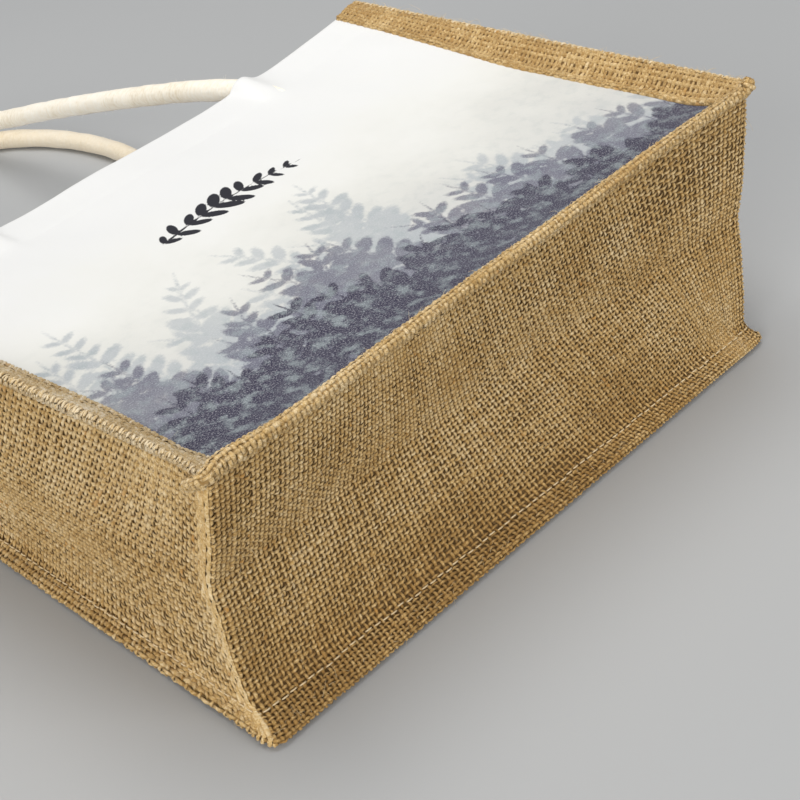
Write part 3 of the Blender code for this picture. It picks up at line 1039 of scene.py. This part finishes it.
def leafField(field, x, y, foot, tip, halfWidth):
    # raises the field inside a leaf that runs from foot to tip; all in millimetres
    middle, long = (foot + tip) / 2, np.linalg.norm(tip - foot) / 2
    run = (tip - foot) / (2 * long)
    columns, rows = span(x, middle[0], long), span(y, middle[1], long)
    px, py = np.meshgrid(x[columns] - middle[0], y[rows] - middle[1])
    if px.size == 0:
        return
    lengthwise, aside = px * run[0] + py * run[1], px * run[1] - py * run[0]
    share = np.hypot(lengthwise / long, aside / halfWidth)
    field[rows, columns] = np.maximum(field[rows, columns], (1 - share) * halfWidth)


def drawSprig(field, x, y, foot, height, lean, bend, rng, leaf, apart):
    # a bending stem with pairs of leaves that shorten towards its tip
    point, steps = np.array(foot, float), max(int(height / apart), 4)
    for i in range(steps):
        share = i / steps
        turn = lean + bend * share
        run = np.array([np.sin(turn), np.cos(turn)])
        after = point + run * height / steps
        leafField(field, x, y, point - run * 1.5, after + run * 1.5, 0.75 - 0.35 * share)
        long = leaf * (0.4 + 0.6 * np.sin(np.pi * min(share * 0.85 + 0.2, 1))) * rng.uniform(0.8, 1.2)
        for side in (-1, 1):
            spread = turn + side * rng.uniform(0.6, 1.1)
            end = point + np.array([np.sin(spread), np.cos(spread)]) * long
            leafField(field, x, y, point, end, max(long * printLook["slim"], 0.7))
        point = after


def printFields(x, y):
    # x and y in millimetres from the body's middle; one field for each printed layer
    look, fields, reach = printLook, {}, half / mm
    for name, (count, nearHeight, farHeight, start, seed) in look["layers"].items():
        rng = np.random.default_rng(seed)
        field = np.full((len(y), len(x)), look["outside"])
        for i in range(count):
            place = -reach + 2 * reach * (i + rng.uniform(0.1, 0.9)) / count
            height = mix(nearHeight, farHeight, ease(place / reach + 0.2)) * rng.uniform(*look["heights"])
            foot = bottomY / mm - bag["middleY"] / mm + start + rng.uniform(-look["feet"], look["feet"])
            lean = rng.uniform(-look["leans"], look["leans"]) - look["leanOut"] * place / reach
            bend = rng.uniform(-look["bends"], look["bends"])
            drawSprig(field, x, y, (place, foot), height, lean, bend, rng, look["leaf"], look["apart"])
        fields[name] = field
    fields["emblem"] = np.full((len(y), len(x)), look["outside"])
    rng, long, (middleX, middleUp) = np.random.default_rng(30), look["emblemLong"], look["emblem"]
    foot, leaf, apart = (middleX - long / 2, middleUp - 5), look["emblemLeaf"], look["emblemApart"]
    drawSprig(fields["emblem"], x, y, foot, long, *look["emblemTurn"], rng, leaf, apart)
    return fields


def makeCanvasCloth():
    material, tree, shader = newMaterial("printed canvas", 0.85, 0.0)
    look, place = printLook, placeIn(tree, "cloth")
    rag = calc(tree, "SUBTRACT", noise(tree, place, 620.0, 4.0, 0.65), 0.5)
    cloud = noise(tree, place, 17.0, 4.0, 0.55)
    threads = put(tree, "VectorMath", {0: place, 1: (look["threads"],) * 3}, operation="MULTIPLY").outputs[0]
    weave = useGroup(tree, weaveGroup, {"Place": threads, "Yarn Width": 0.46, "Swing": 0.25})
    up = calc(tree, "DIVIDE", split(tree, place)[1], bag["height"])
    # mist first, then each layer of leaves, darker towards the binding
    low = calc(tree, "SUBTRACT", calc(tree, "MULTIPLY_ADD", cloud, 0.5, 0.12), up)
    wash = remap(tree, low, -0.25, 0.45)
    colour = blend(tree, remap(tree, low, -0.45, 0.2), look["cotton"], look["cottonLow"])
    ink = calc(tree, "MULTIPLY", wash, look["mistWeight"])
    colour = blend(tree, ink, colour, look["mist"])
    for name, (ragged, soft, weight, shade) in look["inks"].items():
        held = calc(tree, "MULTIPLY_ADD", rag, ragged * 2, value(tree, name))
        patchy = calc(tree, "MULTIPLY_ADD", cloud, 0.9, weight - 0.45)
        mask = calc(tree, "MULTIPLY", remap(tree, held, -soft, soft), patchy)
        colour = blend(tree, mask, colour, shade)
        ink = calc(tree, "MAXIMUM", ink, mask)
    mark = remap(tree, calc(tree, "MULTIPLY_ADD", rag, 0.5, value(tree, "emblem")), -0.15, 0.25)
    colour = blend(tree, mark, colour, look["emblemInk"])
    # the ink sits on the threads' tops and leaves bare cotton between them
    mottle = remap(tree, noise(tree, place, 150.0, 5.0, 0.62), 0.46, 0.66)
    bare = remap(tree, noise(tree, place, 1500.0, 4.0, 0.75), 0.46, 0.70)
    for name, spots in (("mottle", mottle), ("bare", bare)):
        share = calc(tree, "MULTIPLY", spots, calc(tree, "MULTIPLY", ink, look[name + "Weight"]))
        colour = blend(tree, share, colour, look[name])
    # painted shade in the gaps between the threads
    colour = blend(tree, calc(tree, "MULTIPLY", weave["Gap"], look["holesWeight"]), colour, look["holes"])
    setSurface(tree, shader, colour, weave["Height"], 0.10 * mm, 0.7)
    return material


def makeCanvas():
    length = mouthY - bottomY - canvas["foot"]
    ups = np.concatenate([
        np.linspace(0, length, round(length / canvas["step"])),
        length + np.linspace(0, np.pi, 7)[1:] * canvas["hemRound"],
        length + np.pi * canvas["hemRound"] + np.linspace(0, bag["hem"], 9)[1:],
    ])
    width = bag["width"] - canvas["near"] - canvas["far"]
    xs = np.linspace(canvas["near"] - half, half - canvas["far"], round(width / canvas["step"]) + 1)
    x, up = np.meshgrid(xs, ups)
    piece = newPiece("canvasFront", canvasAt(x, up), gridFaces(len(ups), len(xs)), makeCanvasCloth())
    setPlaces(piece, "cloth", x, up)
    flatRows = int(np.sum(ups <= length + 1e-6))
    fields = printFields(xs / mm, (ups[:flatRows] + bottomY + canvas["foot"] - bag["middleY"]) / mm)
    unprinted = np.full((len(ups) - flatRows, len(xs)), printLook["outside"])
    for name, field in fields.items():
        setValues(piece, name, np.concatenate([field, unprinted]))
    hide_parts("front_canvas")


makeCanvas()
print("canvas ready")


# the burlap borders beside the canvas
border = {
    # in millimetres how wide it is at the corner and further on, and where that width is reached
    "widths": {"Near": (8.0, 11.6, 0.30), "Far": (12.6, 14.2, 0.45)},
    "ridge": {"Near": -0.4 * mm, "Far": 0.6 * mm},   # how far the ridge stands out over the side
    "rise": {"Near": (0.3 * mm, 0.0), "Far": (3.0 * mm, 0.1)},   # its height, and how much that falls
    "dip": {"Near": 2.6 * mm, "Far": 0.0},           # of the ridge at the corner
    "lies": 0.85,             # the share of the width where it comes down to the canvas
    "bead": 1.7 * mm,         # the ridge's rounded edge
    "foot": {"Near": 1.4 * mm, "Far": 4.2 * mm},     # straight down from the ridge, over the side's edge
    "fold": 0.95 * mm,        # the turned edge on the canvas
    "yarnsAcross": {"Near": 8, "Far": 11},
    "yarnsAlong": 98,
    "looks": {
        "Near": {"fullness": 1.22, "depth": 0.52, "swing": 0.85, "faded": 1.0},
        "Far": {"fullness": 1.28, "depth": 0.46, "swing": 0.65, "faded": 0.45},
    },
    "pale": {"Near": 0.04, "Far": -0.26},
    # how far the crosswise yarns lie over the others on the ridge and on the fold, up to which yarn
    # there, and over how many it fades
    "over": {"Near": (0.9, 0.35), "Far": (0.9, 0.0)},
    "overYarns": {"ridge": (2.6, 1.0), "fold": (1.9, 0.9)},
    "cloth": (90, 30, 0.9 * mm, 0.5 * mm),   # steps along and across, how deep under the yarns, thickness
}


def borderOuter(side):
    # the cloth's length from the foot up to the ridge
    return border["bead"] * np.pi / 2 + border["foot"][side]


def borderFace(side, along, across):
    # along runs from the bottom to the mouth, across from 0 at the bead's foot to 1 at the fold
    inward = 1 if side == "Near" else -1
    up = along / (border["yarnsAlong"] * pitch)
    y = mix(bottomY, mouthY, up)
    atCorner, further, reached = border["widths"][side]
    width = mix(atCorner, further, ease(up / reached)) * mm
    ridge = sideX(np.asarray(gusset["rows"][-1]) * mm, y, side == "Near") - inward * border["ridge"][side]
    rise, falls = border["rise"][side]
    dip = border["dip"][side] * (1 - ease((y - bottomY) / gusset["rollReach"]))
    crest = bag["depth"] + rise * (1 - falls * up) - dip
    outer, reach = borderOuter(side), width - border["fold"]
    place = across * (outer + reach + np.pi * border["fold"]) - outer
    flat = np.clip(place, 0, reach)
    x = ridge + inward * flat
    low = canvasFace(x, y) + bag["burlap"] + bag["gap"]
    z = mix(crest, low, ease(flat / width / border["lies"]))
    down = np.clip(-place / border["bead"], 0, np.pi / 2)
    straight = np.maximum(-place - border["bead"] * np.pi / 2, 0)
    under = np.clip((place - reach) / border["fold"], 0, np.pi)
    x = x + inward * (border["fold"] * np.sin(under) - border["bead"] * np.sin(down))
    z = z - border["bead"] * (1 - np.cos(down)) - straight - border["fold"] * (1 - np.cos(under))
    return np.stack([x, y, z], -1)


def makeBorder(side, node, seed):
    wide, long = border["yarnsAcross"][side], border["yarnsAlong"]

    def surface(along, up):
        share = up / (wide * pitch)
        return borderFace(side, along, 1 - share if side == "Near" else share)

    # the crosswise yarns lie over the others on the ridge and round the near border's turned edge
    def overAt(along, up):
        fromRidge = wide - up if side == "Near" else up
        overs = []
        for kind, place, over in zip(("ridge", "fold"), (fromRidge, up), border["over"][side]):
            reach, fades = border["overYarns"][kind]
            overs.append(over * ease((reach - place) / fades))
        return np.maximum(*overs)

    yarns = weave(
        "borderYarns" + side, surface, (0, long), (0, wide), seed, overAt=overAt,
        toneAt=lambda along, up: border["pale"][side], **border["looks"][side],
    )
    cloth = backing("borderCloth" + side, surface, (0, long), (0, wide), *border["cloth"])
    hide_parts(node)


makeBorder("Near", "side_border_near", 31)
makeBorder("Far", "side_border_far", 33)
print("borders woven")


# the rolled binding over the front edge of the bottom
binding = {
    "radius": 2.9 * mm,
    "core": 0.72,             # the body's radius under the yarns, as a share of the roll's
    "yarnsRound": 8,
    "over": (0.35, -0.20),    # how far the crosswise yarns lie over the others, low and on top
    "twist": 12.0,            # radians for each metre
    "start": -2.4,
    "look": {"fullness": 1.2, "depth": 0.75, "swing": 0.85, "faded": 0.35},
    "coreSteps": (400, 12),
    # its sunk value darkens the core towards the deep colour: painted shade under the yarns
    "coreLook": {"tone": 0.35, "rust": 0.0, "sunk": 0.55, "faded": 0.2},
    "swell": (7, 16),         # a thicker place: millimetres from the near corner, and its width
    # its middle line's height from near to far, in millimetres
    "heights": [114.4, 114.0, 115.0, 115.9, 116.4, 117.0, 117.8, 118.2, 117.8],
    # x, y, z in millimetres from the body's middle and the share of the full radius
    "near": [
        (-153.9, -101.0, 107.0, 0.60), (-154.3, -104.5, 109.4, 0.80), (-154.6, -109.0, 112.0, 0.90),
        (-152.6, -112.4, 114.2, 1.10),
    ],
    "far": [(150.4, -112.8, 117.5, 1.10), (152.8, -113.6, 119.4, 1.22), (154.4, -114.0, 122.4, 1.10)],
}


def bindingLine():
    # even points along the roll's middle, each with its share of the radius
    reach, middle = bag["cornerReach"] / mm, bag["middleY"] / mm
    x = np.linspace(reach - half / mm, half / mm - reach, 22)
    last = len(binding["heights"]) - 1
    heights = np.array(binding["heights"])[:, None]
    z = throughPoints(heights, (x + half / mm) / (bag["width"] / mm) * last)[:, 0]
    y = baseY(np.asarray(gusset["rows"][-1]) * mm, x * mm) / mm
    place, wide = binding["swell"]
    swell = hump(x, -half / mm + place, wide)
    near, far = (np.array(binding[key]) + [0, middle, 0, 0] for key in ("near", "far"))
    straight = np.stack([x, y + 0.9 * swell, z + 0.3 * swell, 1 + 0.34 * swell], -1)
    points = np.concatenate([near, straight, far])
    line = throughPoints(points, np.linspace(0, len(points) - 1, 900)) * [mm, mm, mm, 1]
    return line, lengthsAlong(line[:, :3])


def bindingFace(along, angle, core=1.0, blunt=0.22):
    # the roll's face, or its core's; blunt is the share of the radius left at its rounded ends
    line, travelled = bindingLine()
    held = np.concatenate([line, *lineWays(line[:, :3])[1:]], axis=1)
    held = np.stack([np.interp(along, travelled, column) for column in held.T], -1)
    point, share, side, lift = held[..., :3], held[..., 3], held[..., 4:7], held[..., 7:10]
    radius = binding["radius"] * share
    left = np.clip(np.minimum(along, travelled[-1] - along) / radius, blunt, 1)
    radius = radius * np.sqrt(1 - (1 - left) ** 2) * core
    turn = angle + binding["twist"] * along + binding["start"]
    return point + aroundLine(side, lift, turn[..., None]) * radius[..., None]


def makeBinding():
    length, around = bindingLine()[1][-1], binding["yarnsRound"] * pitch
    long = round(length / pitch)
    stretch, low, top = length / (long * pitch), *binding["over"]

    def surface(along, up):
        return bindingFace(along * stretch, up / around * 2 * np.pi)

    def overAt(along, up):
        turn = up / binding["yarnsRound"] * 2 * np.pi
        turn = turn + binding["twist"] * along * pitch + binding["start"]
        return mix(low, top, ease((np.sin(turn - 0.5) + 0.15) / 0.6))

    rows = (0, binding["yarnsRound"])
    weave("bindingYarns", surface, (0, long), rows, 41, overAt=overAt, **binding["look"])
    rings, sides = binding["coreSteps"]
    angle = np.linspace(0, 2 * np.pi, sides + 1)[:-1]
    along, angle = np.meshgrid(np.linspace(0, length, rings), angle, indexing="ij")
    points = bindingFace(along, angle, binding["core"], 0.0004)
    core = newPiece("bindingCore", points, tubeFaces(rings, sides), juteYarn)
    setPlaces(core, "yarn", angle / 3, along / pitch)
    for key, held in binding["coreLook"].items():
        setValues(core, key, held + 0 * along)
    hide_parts("bottom_binding")


makeBinding()
print("binding rolled")


rope = {
    "thick": 10.5 * mm,
    "ring": 0.9 * mm,     # from one ring of the tube to the next
    "sides": 22,
    "ply": 26 * mm,       # a slow turn of the whole rope
    "relief": 0.18 * mm,
    "uneven": (8 * mm, 1.5),   # the length of uneven places along the rope, how many in a radian round it
    "rounded": 3.6 * mm,  # its ends
    "streak": 1.9 * mm,   # along the rope, from one soft streak to the next
    # painted shade: the back rope is drawn browner all over
    "ropeShade": {"front": 0.0, "back": 0.52},
    "colours": [(0.15, (0.78, 0.67, 0.49)), (0.45, (0.93, 0.85, 0.70)), (0.75, (0.96, 0.91, 0.80))],
    "ropeShadeColour": (0.62, 0.50, 0.33),
    "strands": {"Yarn": 0.0, "Fineness": 1.2, "Twist": 0.8},
    "strandShare": 1.1,
    "strandRelief": 0.22 * mm,
    "dirt": 30.0,         # patches in a metre
    # their routes, in millimetres from the body's middle
    "front": [
        (80, 82, 103.6), (81, 112, 103.5), (84, 160, 93), (89, 232, 72), (95, 300, 50), (98, 350, 33),
        (96, 381, 24.5), (86, 406, 18.5), (65, 429, 11.5), (34, 442, 5.9), (-3, 443, 5.6), (-37, 430, 5.6),
        (-68, 397, 8), (-86, 346, 22), (-92, 288, 45), (-91, 220, 72), (-86, 160, 91), (-82, 112, 99.4),
        (-81, 82, 99.8),
    ],
    "back": [
        (78, 68, 9.4), (80, 112, 9.2), (88, 152, 6.0), (106, 206, 5.5), (125, 258, 5.5), (134, 306, 5.5),
        (129, 352, 5.5), (109, 389, 5.5), (72, 412, 5.5), (28, 413, 5.5), (-20, 398, 5.5), (-60, 362, 5.5),
        (-86, 310, 5.5), (-97, 250, 5.5), (-96, 195, 5.5), (-88, 148, 6.2), (-81, 112, 9.2), (-81, 68, 9.4),
    ],
}


def ropeLine(route):
    places = np.linspace(0, len(route) - 1, 40 * len(route))
    line = throughPoints(route, places) * mm + np.array([0, bag["middleY"], 0])
    return evenLine(line, rope["ring"])


def makeRope(name, kind, node, material):
    line = ropeLine(rope[kind])
    _, side, lift = lineWays(line)
    turns = np.linspace(0, 2 * np.pi, rope["sides"] + 1)[None, :-1]
    travelled = (np.arange(len(line)) * rope["ring"])[:, None]
    ply = np.cos(2 * turns - 2 * np.pi * travelled / rope["ply"])
    long, often = rope["uneven"]
    uneven = softNoise(travelled / long + 0 * turns, turns * often, len(rope[kind]))
    radius = rope["thick"] / 2 + rope["relief"] * (0.5 * ply + uneven)
    fromEnd = np.minimum(travelled, travelled[-1] - travelled) / rope["rounded"]
    radius = radius * np.sqrt(1 - (1 - np.clip(fromEnd, 0.001, 1)) ** 2)
    points = line[:, None] + aroundLine(side[:, None], lift[:, None], turns[..., None]) * radius[..., None]
    piece = newPiece(name, points, tubeFaces(len(line), rope["sides"])[:, ::-1], material)
    around = np.abs(turns / np.pi - 1) * 3
    setValues(piece, "ropeShade", rope["ropeShade"][kind] + 0 * radius)
    setPlaces(piece, "rope", around + 0 * travelled, travelled / rope["streak"] + 0 * turns)
    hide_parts(node)


def makeCottonRope():
    material, tree, shader = newMaterial("cotton rope", 0.88, 0.25)
    place = split(tree, placeIn(tree, "rope"))
    strands = useGroup(tree, fibreGroup, {"Across": place[1], "Along": place[0], **rope["strands"]})
    shade = vary(tree, strands["Shade"], rope["strandShare"], bodyNoise(tree, rope["dirt"], 3.0))
    # painted shade: browner where the rope's value says so
    colour = blend(tree, value(tree, "ropeShade"), ramp(tree, shade, *rope["colours"]), rope["ropeShadeColour"])
    setSurface(tree, shader, colour, strands["Height"], rope["strandRelief"], 0.9)
    return material


cotton = makeCottonRope()
makeRope("ropeFront", "front", "handle_front", cotton)
makeRope("ropeBack", "back", "handle_back", cotton)
print("handles ready")


# stitches: from one to the next, thickness, how far they slant along the edge and stand out of the cloth
stitches = {
    "ridge": {"apart": 2.9 * mm, "thick": 0.98 * mm, "slant": 1.6 * mm, "stands": 0.25 * mm},
    "ridgeThin": {"apart": 2.9 * mm, "thick": 0.66 * mm, "slant": -1.5 * mm, "stands": 0.22 * mm},
    "reach": (-3.6, 0.7),     # from under the ridge to the canvas side, in millimetres from its top
    "sunk": {"Near": 0.0 * mm, "Far": 0.55 * mm},
    "flange": {"apart": 4.3 * mm, "long": 3.1 * mm, "thick": 0.62 * mm, "row": 1.45},
    "sides": 6,
    # how the ridge stitches differ, in millimetres, and their thickness as a share
    "spread": {"along": 0.38, "reach": 0.4, "stands": 0.1, "thick": 0.12},
    "dive": 0.6 * mm,         # how far their ends go down
    "tones": {"ridge": (0.80, 0.14), "flange": (1.1, 0.08)},   # the middle one and the spread
    "faded": {"ridge": 0.6, "flange": 0.3},
}
fibres = {
    "steps": 6,
    "radius": 0.075 * mm,
    "lowest": 0.1 * mm,       # over the floor
    "tone": (1.0, 0.25),      # the middle one and the spread
    "faded": 0.2,
    "nearShare": 0.6,         # of the side fibres, on the near side
    "reach": {"flange": 0.78, "long": 0.66},   # how far along the strip there are any
    # name, how many, shortest and longest in millimetres, how far they stand up
    "kinds": {
        "side": (700, 1.5, 5.5, 0.35),
        "bottom": (1000, 1.5, 5.5, 0.35),
        "flange": (320, 1.5, 6.0, 0.55),
        "ridgeNear": (420, 1.2, 4.0, 0.8),
        "ridgeFar": (560, 1.2, 5.5, 0.9),
        "binding": (480, 1.0, 3.5, 0.8),
        "long": (16, 12.0, 26.0, 0.25),
    },
    "rope": {"count": 1500, "shortest": 0.6 * mm, "longest": 2.0 * mm, "radius": 0.05 * mm},
}


def manyTubes(name, lines, radius, sides, material):
    # one mesh of many round lines; lines holds each line's points
    runs = unit(np.gradient(lines, axis=1))
    helper = np.where(np.abs(runs[..., 2:]) > 0.8, [1.0, 0, 0], [0, 0, 1.0])
    side = unit(np.cross(runs, helper))
    lift = np.cross(side, runs)
    turns = np.linspace(0, 2 * np.pi, sides + 1)[:-1, None]
    aside = aroundLine(side[:, :, None], lift[:, :, None], turns)
    points = lines[:, :, None] + aside * radius[..., None, None]
    count, steps = lines.shape[:2]
    faces = manyFaces(tubeFaces(steps, sides)[:, ::-1], count, steps * sides)
    return newPiece(name, points, faces, material)


def dressYarns(piece, shape, tone, sunk, faded):
    # what the jute material reads, for a piece made by manyTubes
    count, steps, sides = shape
    full = np.ones(shape)
    setValues(piece, "tone", tone[:, None, None] * full)
    setValues(piece, "sunk", sunk[..., None] * full)
    setValues(piece, "rust", 0 * full)
    setValues(piece, "faded", faded * full)
    around = np.abs(np.linspace(-1, 1, sides, endpoint=False))
    along = np.arange(steps)[None, :, None] / 3 + np.arange(count)[:, None, None]
    setPlaces(piece, "yarn", around * full, along * full)


def makeRidgeStitches(side, seed):
    # slanting arcs over the rolled edge, thick ones and thin ones by turns
    rng = np.random.default_rng(seed)
    lines, radii = [], []
    share = np.linspace(0, 1, 9)[None, :]
    fromMiddle = 2 * np.abs(share - 0.5)
    outer, spread = borderOuter(side), stitches["spread"]
    whole, (low, high) = outer + border["widths"][side][1] * mm, stitches["reach"]
    for kind, shift in (("ridge", 0.0), ("ridgeThin", 0.5)):
        look = stitches[kind]
        count = int(bag["height"] / look["apart"]) - 1
        along = (np.arange(count)[:, None] + 0.6 + shift) * look["apart"] + look["slant"] * (share - 0.5)
        along = along + rng.normal(0, spread["along"], (count, 1)) * mm
        reach = outer + mix(low, high + rng.normal(0, spread["reach"], (count, 1)), share) * mm
        point = borderFace(side, along, reach / whole)
        middle = borderFace(side, along, outer / whole + 0 * reach) - [0, 0, border["bead"]]
        stands = look["stands"] - stitches["sunk"][side] + rng.normal(0, spread["stands"], (count, 1)) * mm
        stands = stands - stitches["dive"] * fromMiddle**4
        lines.append(point + unit(point - middle) * stands[..., None])
        thick = look["thick"] / 2 * (1 + rng.normal(0, spread["thick"], (count, 1)))
        radii.append(thick * (1 - 0.5 * fromMiddle**6))
    lines, radii, sides = np.concatenate(lines), np.concatenate(radii), stitches["sides"]
    piece = manyTubes("ridgeStitches" + side, lines, radii, sides, juteYarn)
    tone = rng.normal(*stitches["tones"]["ridge"], len(lines))
    # painted shade: darker towards the ends, where they go into the cloth
    sunk = 0.8 * np.broadcast_to(fromMiddle**3, radii.shape)
    dressYarns(piece, (*radii.shape, sides), tone, sunk, stitches["faded"]["ridge"])


def makeFlangeStitches():
    # one line of stitches along the seam flange, whose ends go down into the cloth
    look, rng = stitches["flange"], np.random.default_rng(61)
    count, sides = int(gussetTotal / look["apart"]), stitches["sides"]
    share = np.linspace(-0.5, 0.5, 6)[None, :]
    along = (np.arange(count)[:, None] + 0.5) * look["apart"] + share * look["long"]
    point = gussetFace(along, look["row"] + rng.normal(0, 0.04, (count, 1)) + 0 * along)
    facing = unit(outward(along) * 0.75 + [0, 0, 0.65])
    ends = (2 * np.abs(share)) ** 3
    stands = mix(0.38, -0.5, ends) * mm
    radii = look["thick"] / 2 * np.ones(along.shape)
    piece = manyTubes("flangeStitches", point + facing * stands[..., None], radii, sides, juteYarn)
    tone = rng.normal(*stitches["tones"]["flange"], count)
    # painted shade: darker towards the ends, where they go into the cloth
    sunk = 0.6 * np.broadcast_to(ends, radii.shape)
    dressYarns(piece, (*radii.shape, sides), tone, sunk, stitches["faded"]["flange"])


def fibreRoots(kind, count, rng):
    # where loose fibres leave the cloth, and which way is out; more of them on the side that is seen
    a, b = rng.uniform(0, 1, (2, count))
    if kind in ("side", "bottom", "flange", "long"):
        near, share, reach = gusset["side"], fibres["nearShare"], fibres["reach"]
        along = {
            "side": np.where(a < share, a / share * near, gussetTotal - (a - share) / (1 - share) * near),
            "bottom": near + a * (gussetTotal - 2 * near),
            "flange": a * gussetTotal * reach["flange"],
            "long": a * gussetTotal * reach["long"],
        }[kind]
        up = gussetUp * (0.04 * b if kind == "flange" else 0.15 + 0.8 * b)
        return gussetAt(along, up), unit(outward(along) + [0, 0, 0.35])
    if kind == "binding":
        along, angle = a * bindingLine()[1][-1], b * 2 * np.pi
        point = bindingFace(along, angle)
        return point, unit(point - bindingFace(along, angle + np.pi))
    point = borderFace(kind.removeprefix("ridge"), a * bag["height"], 0.06 + 0.22 * b)
    return point, unit(np.stack([(-0.6 if kind == "ridgeNear" else 0.6) + 0 * a, 0 * a, 1 + 0 * a], -1))


def makeLooseFibres():
    rng = np.random.default_rng(71)
    lines, radii = [], []
    t = np.linspace(0, 1, fibres["steps"])[None, :, None]
    for kind, (count, shortest, longest, stands) in fibres["kinds"].items():
        root, out = fibreRoots(kind, count, rng)
        lean = unit(rng.normal(0, 1, (count, 3)))
        lean = unit(lean - out * np.sum(lean * out, axis=-1, keepdims=True))
        bend = np.cross(out, lean) * rng.normal(0, 0.6, (count, 1))
        long = mix(shortest, longest, rng.uniform(0, 1, (count, 1)) ** 2) * mm
        rise = stands * rng.uniform(0.3, 1.3, (count, 1))
        fall = rise * rng.uniform(0.2, 1.0, (count, 1))
        run = lean[:, None] * t + bend[:, None] * t**2
        run = run + out[:, None] * (rise[:, None] * t - fall[:, None] * t**2)
        lines.append(root[:, None] - out[:, None] * 0.3 * mm + run * long[:, None])
        radii.append(fibres["radius"] * rng.uniform(0.6, 1.5, (count, 1)) * (1 - 0.7 * t[..., 0]))
    lines, radii = np.concatenate(lines), np.concatenate(radii)
    lines[..., 2] = np.maximum(lines[..., 2], fibres["lowest"])
    piece = manyTubes("looseFibres", lines, radii, 3, juteYarn)
    tone = rng.normal(*fibres["tone"], len(lines))
    dressYarns(piece, (*radii.shape, 3), tone, 0 * radii, fibres["faded"])


def makeRopeFuzz():
    # the cotton's short loose hairs
    rng, look = np.random.default_rng(72), fibres["rope"]
    lines, radii = [], []
    t = np.linspace(0, 1, 4)[None, :, None]
    for route in (rope["front"], rope["back"]):
        line = ropeLine(route)
        at = rng.integers(8, len(line) - 8, look["count"])
        runs, side, lift = (way[at] for way in lineWays(line))
        turn = rng.uniform(0, 2 * np.pi, (look["count"], 1))
        out = aroundLine(side, lift, turn)
        lean = unit(rng.normal(0, 1, out.shape) + runs * rng.choice([-1, 1], turn.shape))
        long = mix(look["shortest"], look["longest"], rng.uniform(0, 1, turn.shape) ** 2)[..., None]
        run = lean[:, None] * t * 0.8 + out[:, None] * (0.75 * t - 0.25 * t**2)
        lines.append(line[at][:, None] + out[:, None] * (rope["thick"] / 2 - 0.25 * mm) + run * long)
        radii.append(look["radius"] * (1 - 0.6 * t[..., 0]) * np.ones(turn.shape))
    lines, radii = np.concatenate(lines), np.concatenate(radii)
    lines[..., 2] = np.maximum(lines[..., 2], fibres["lowest"])
    piece = manyTubes("ropeFuzz", lines, radii, 3, cotton)
    setValues(piece, "ropeShade", np.zeros(radii.size * 3))
    setPlaces(piece, "rope", np.zeros(radii.size * 3), np.ones(radii.size * 3))


makeRidgeStitches("Near", 51)
makeRidgeStitches("Far", 52)
makeFlangeStitches()
makeLooseFibres()
makeRopeFuzz()
print("stitches and fibres ready")
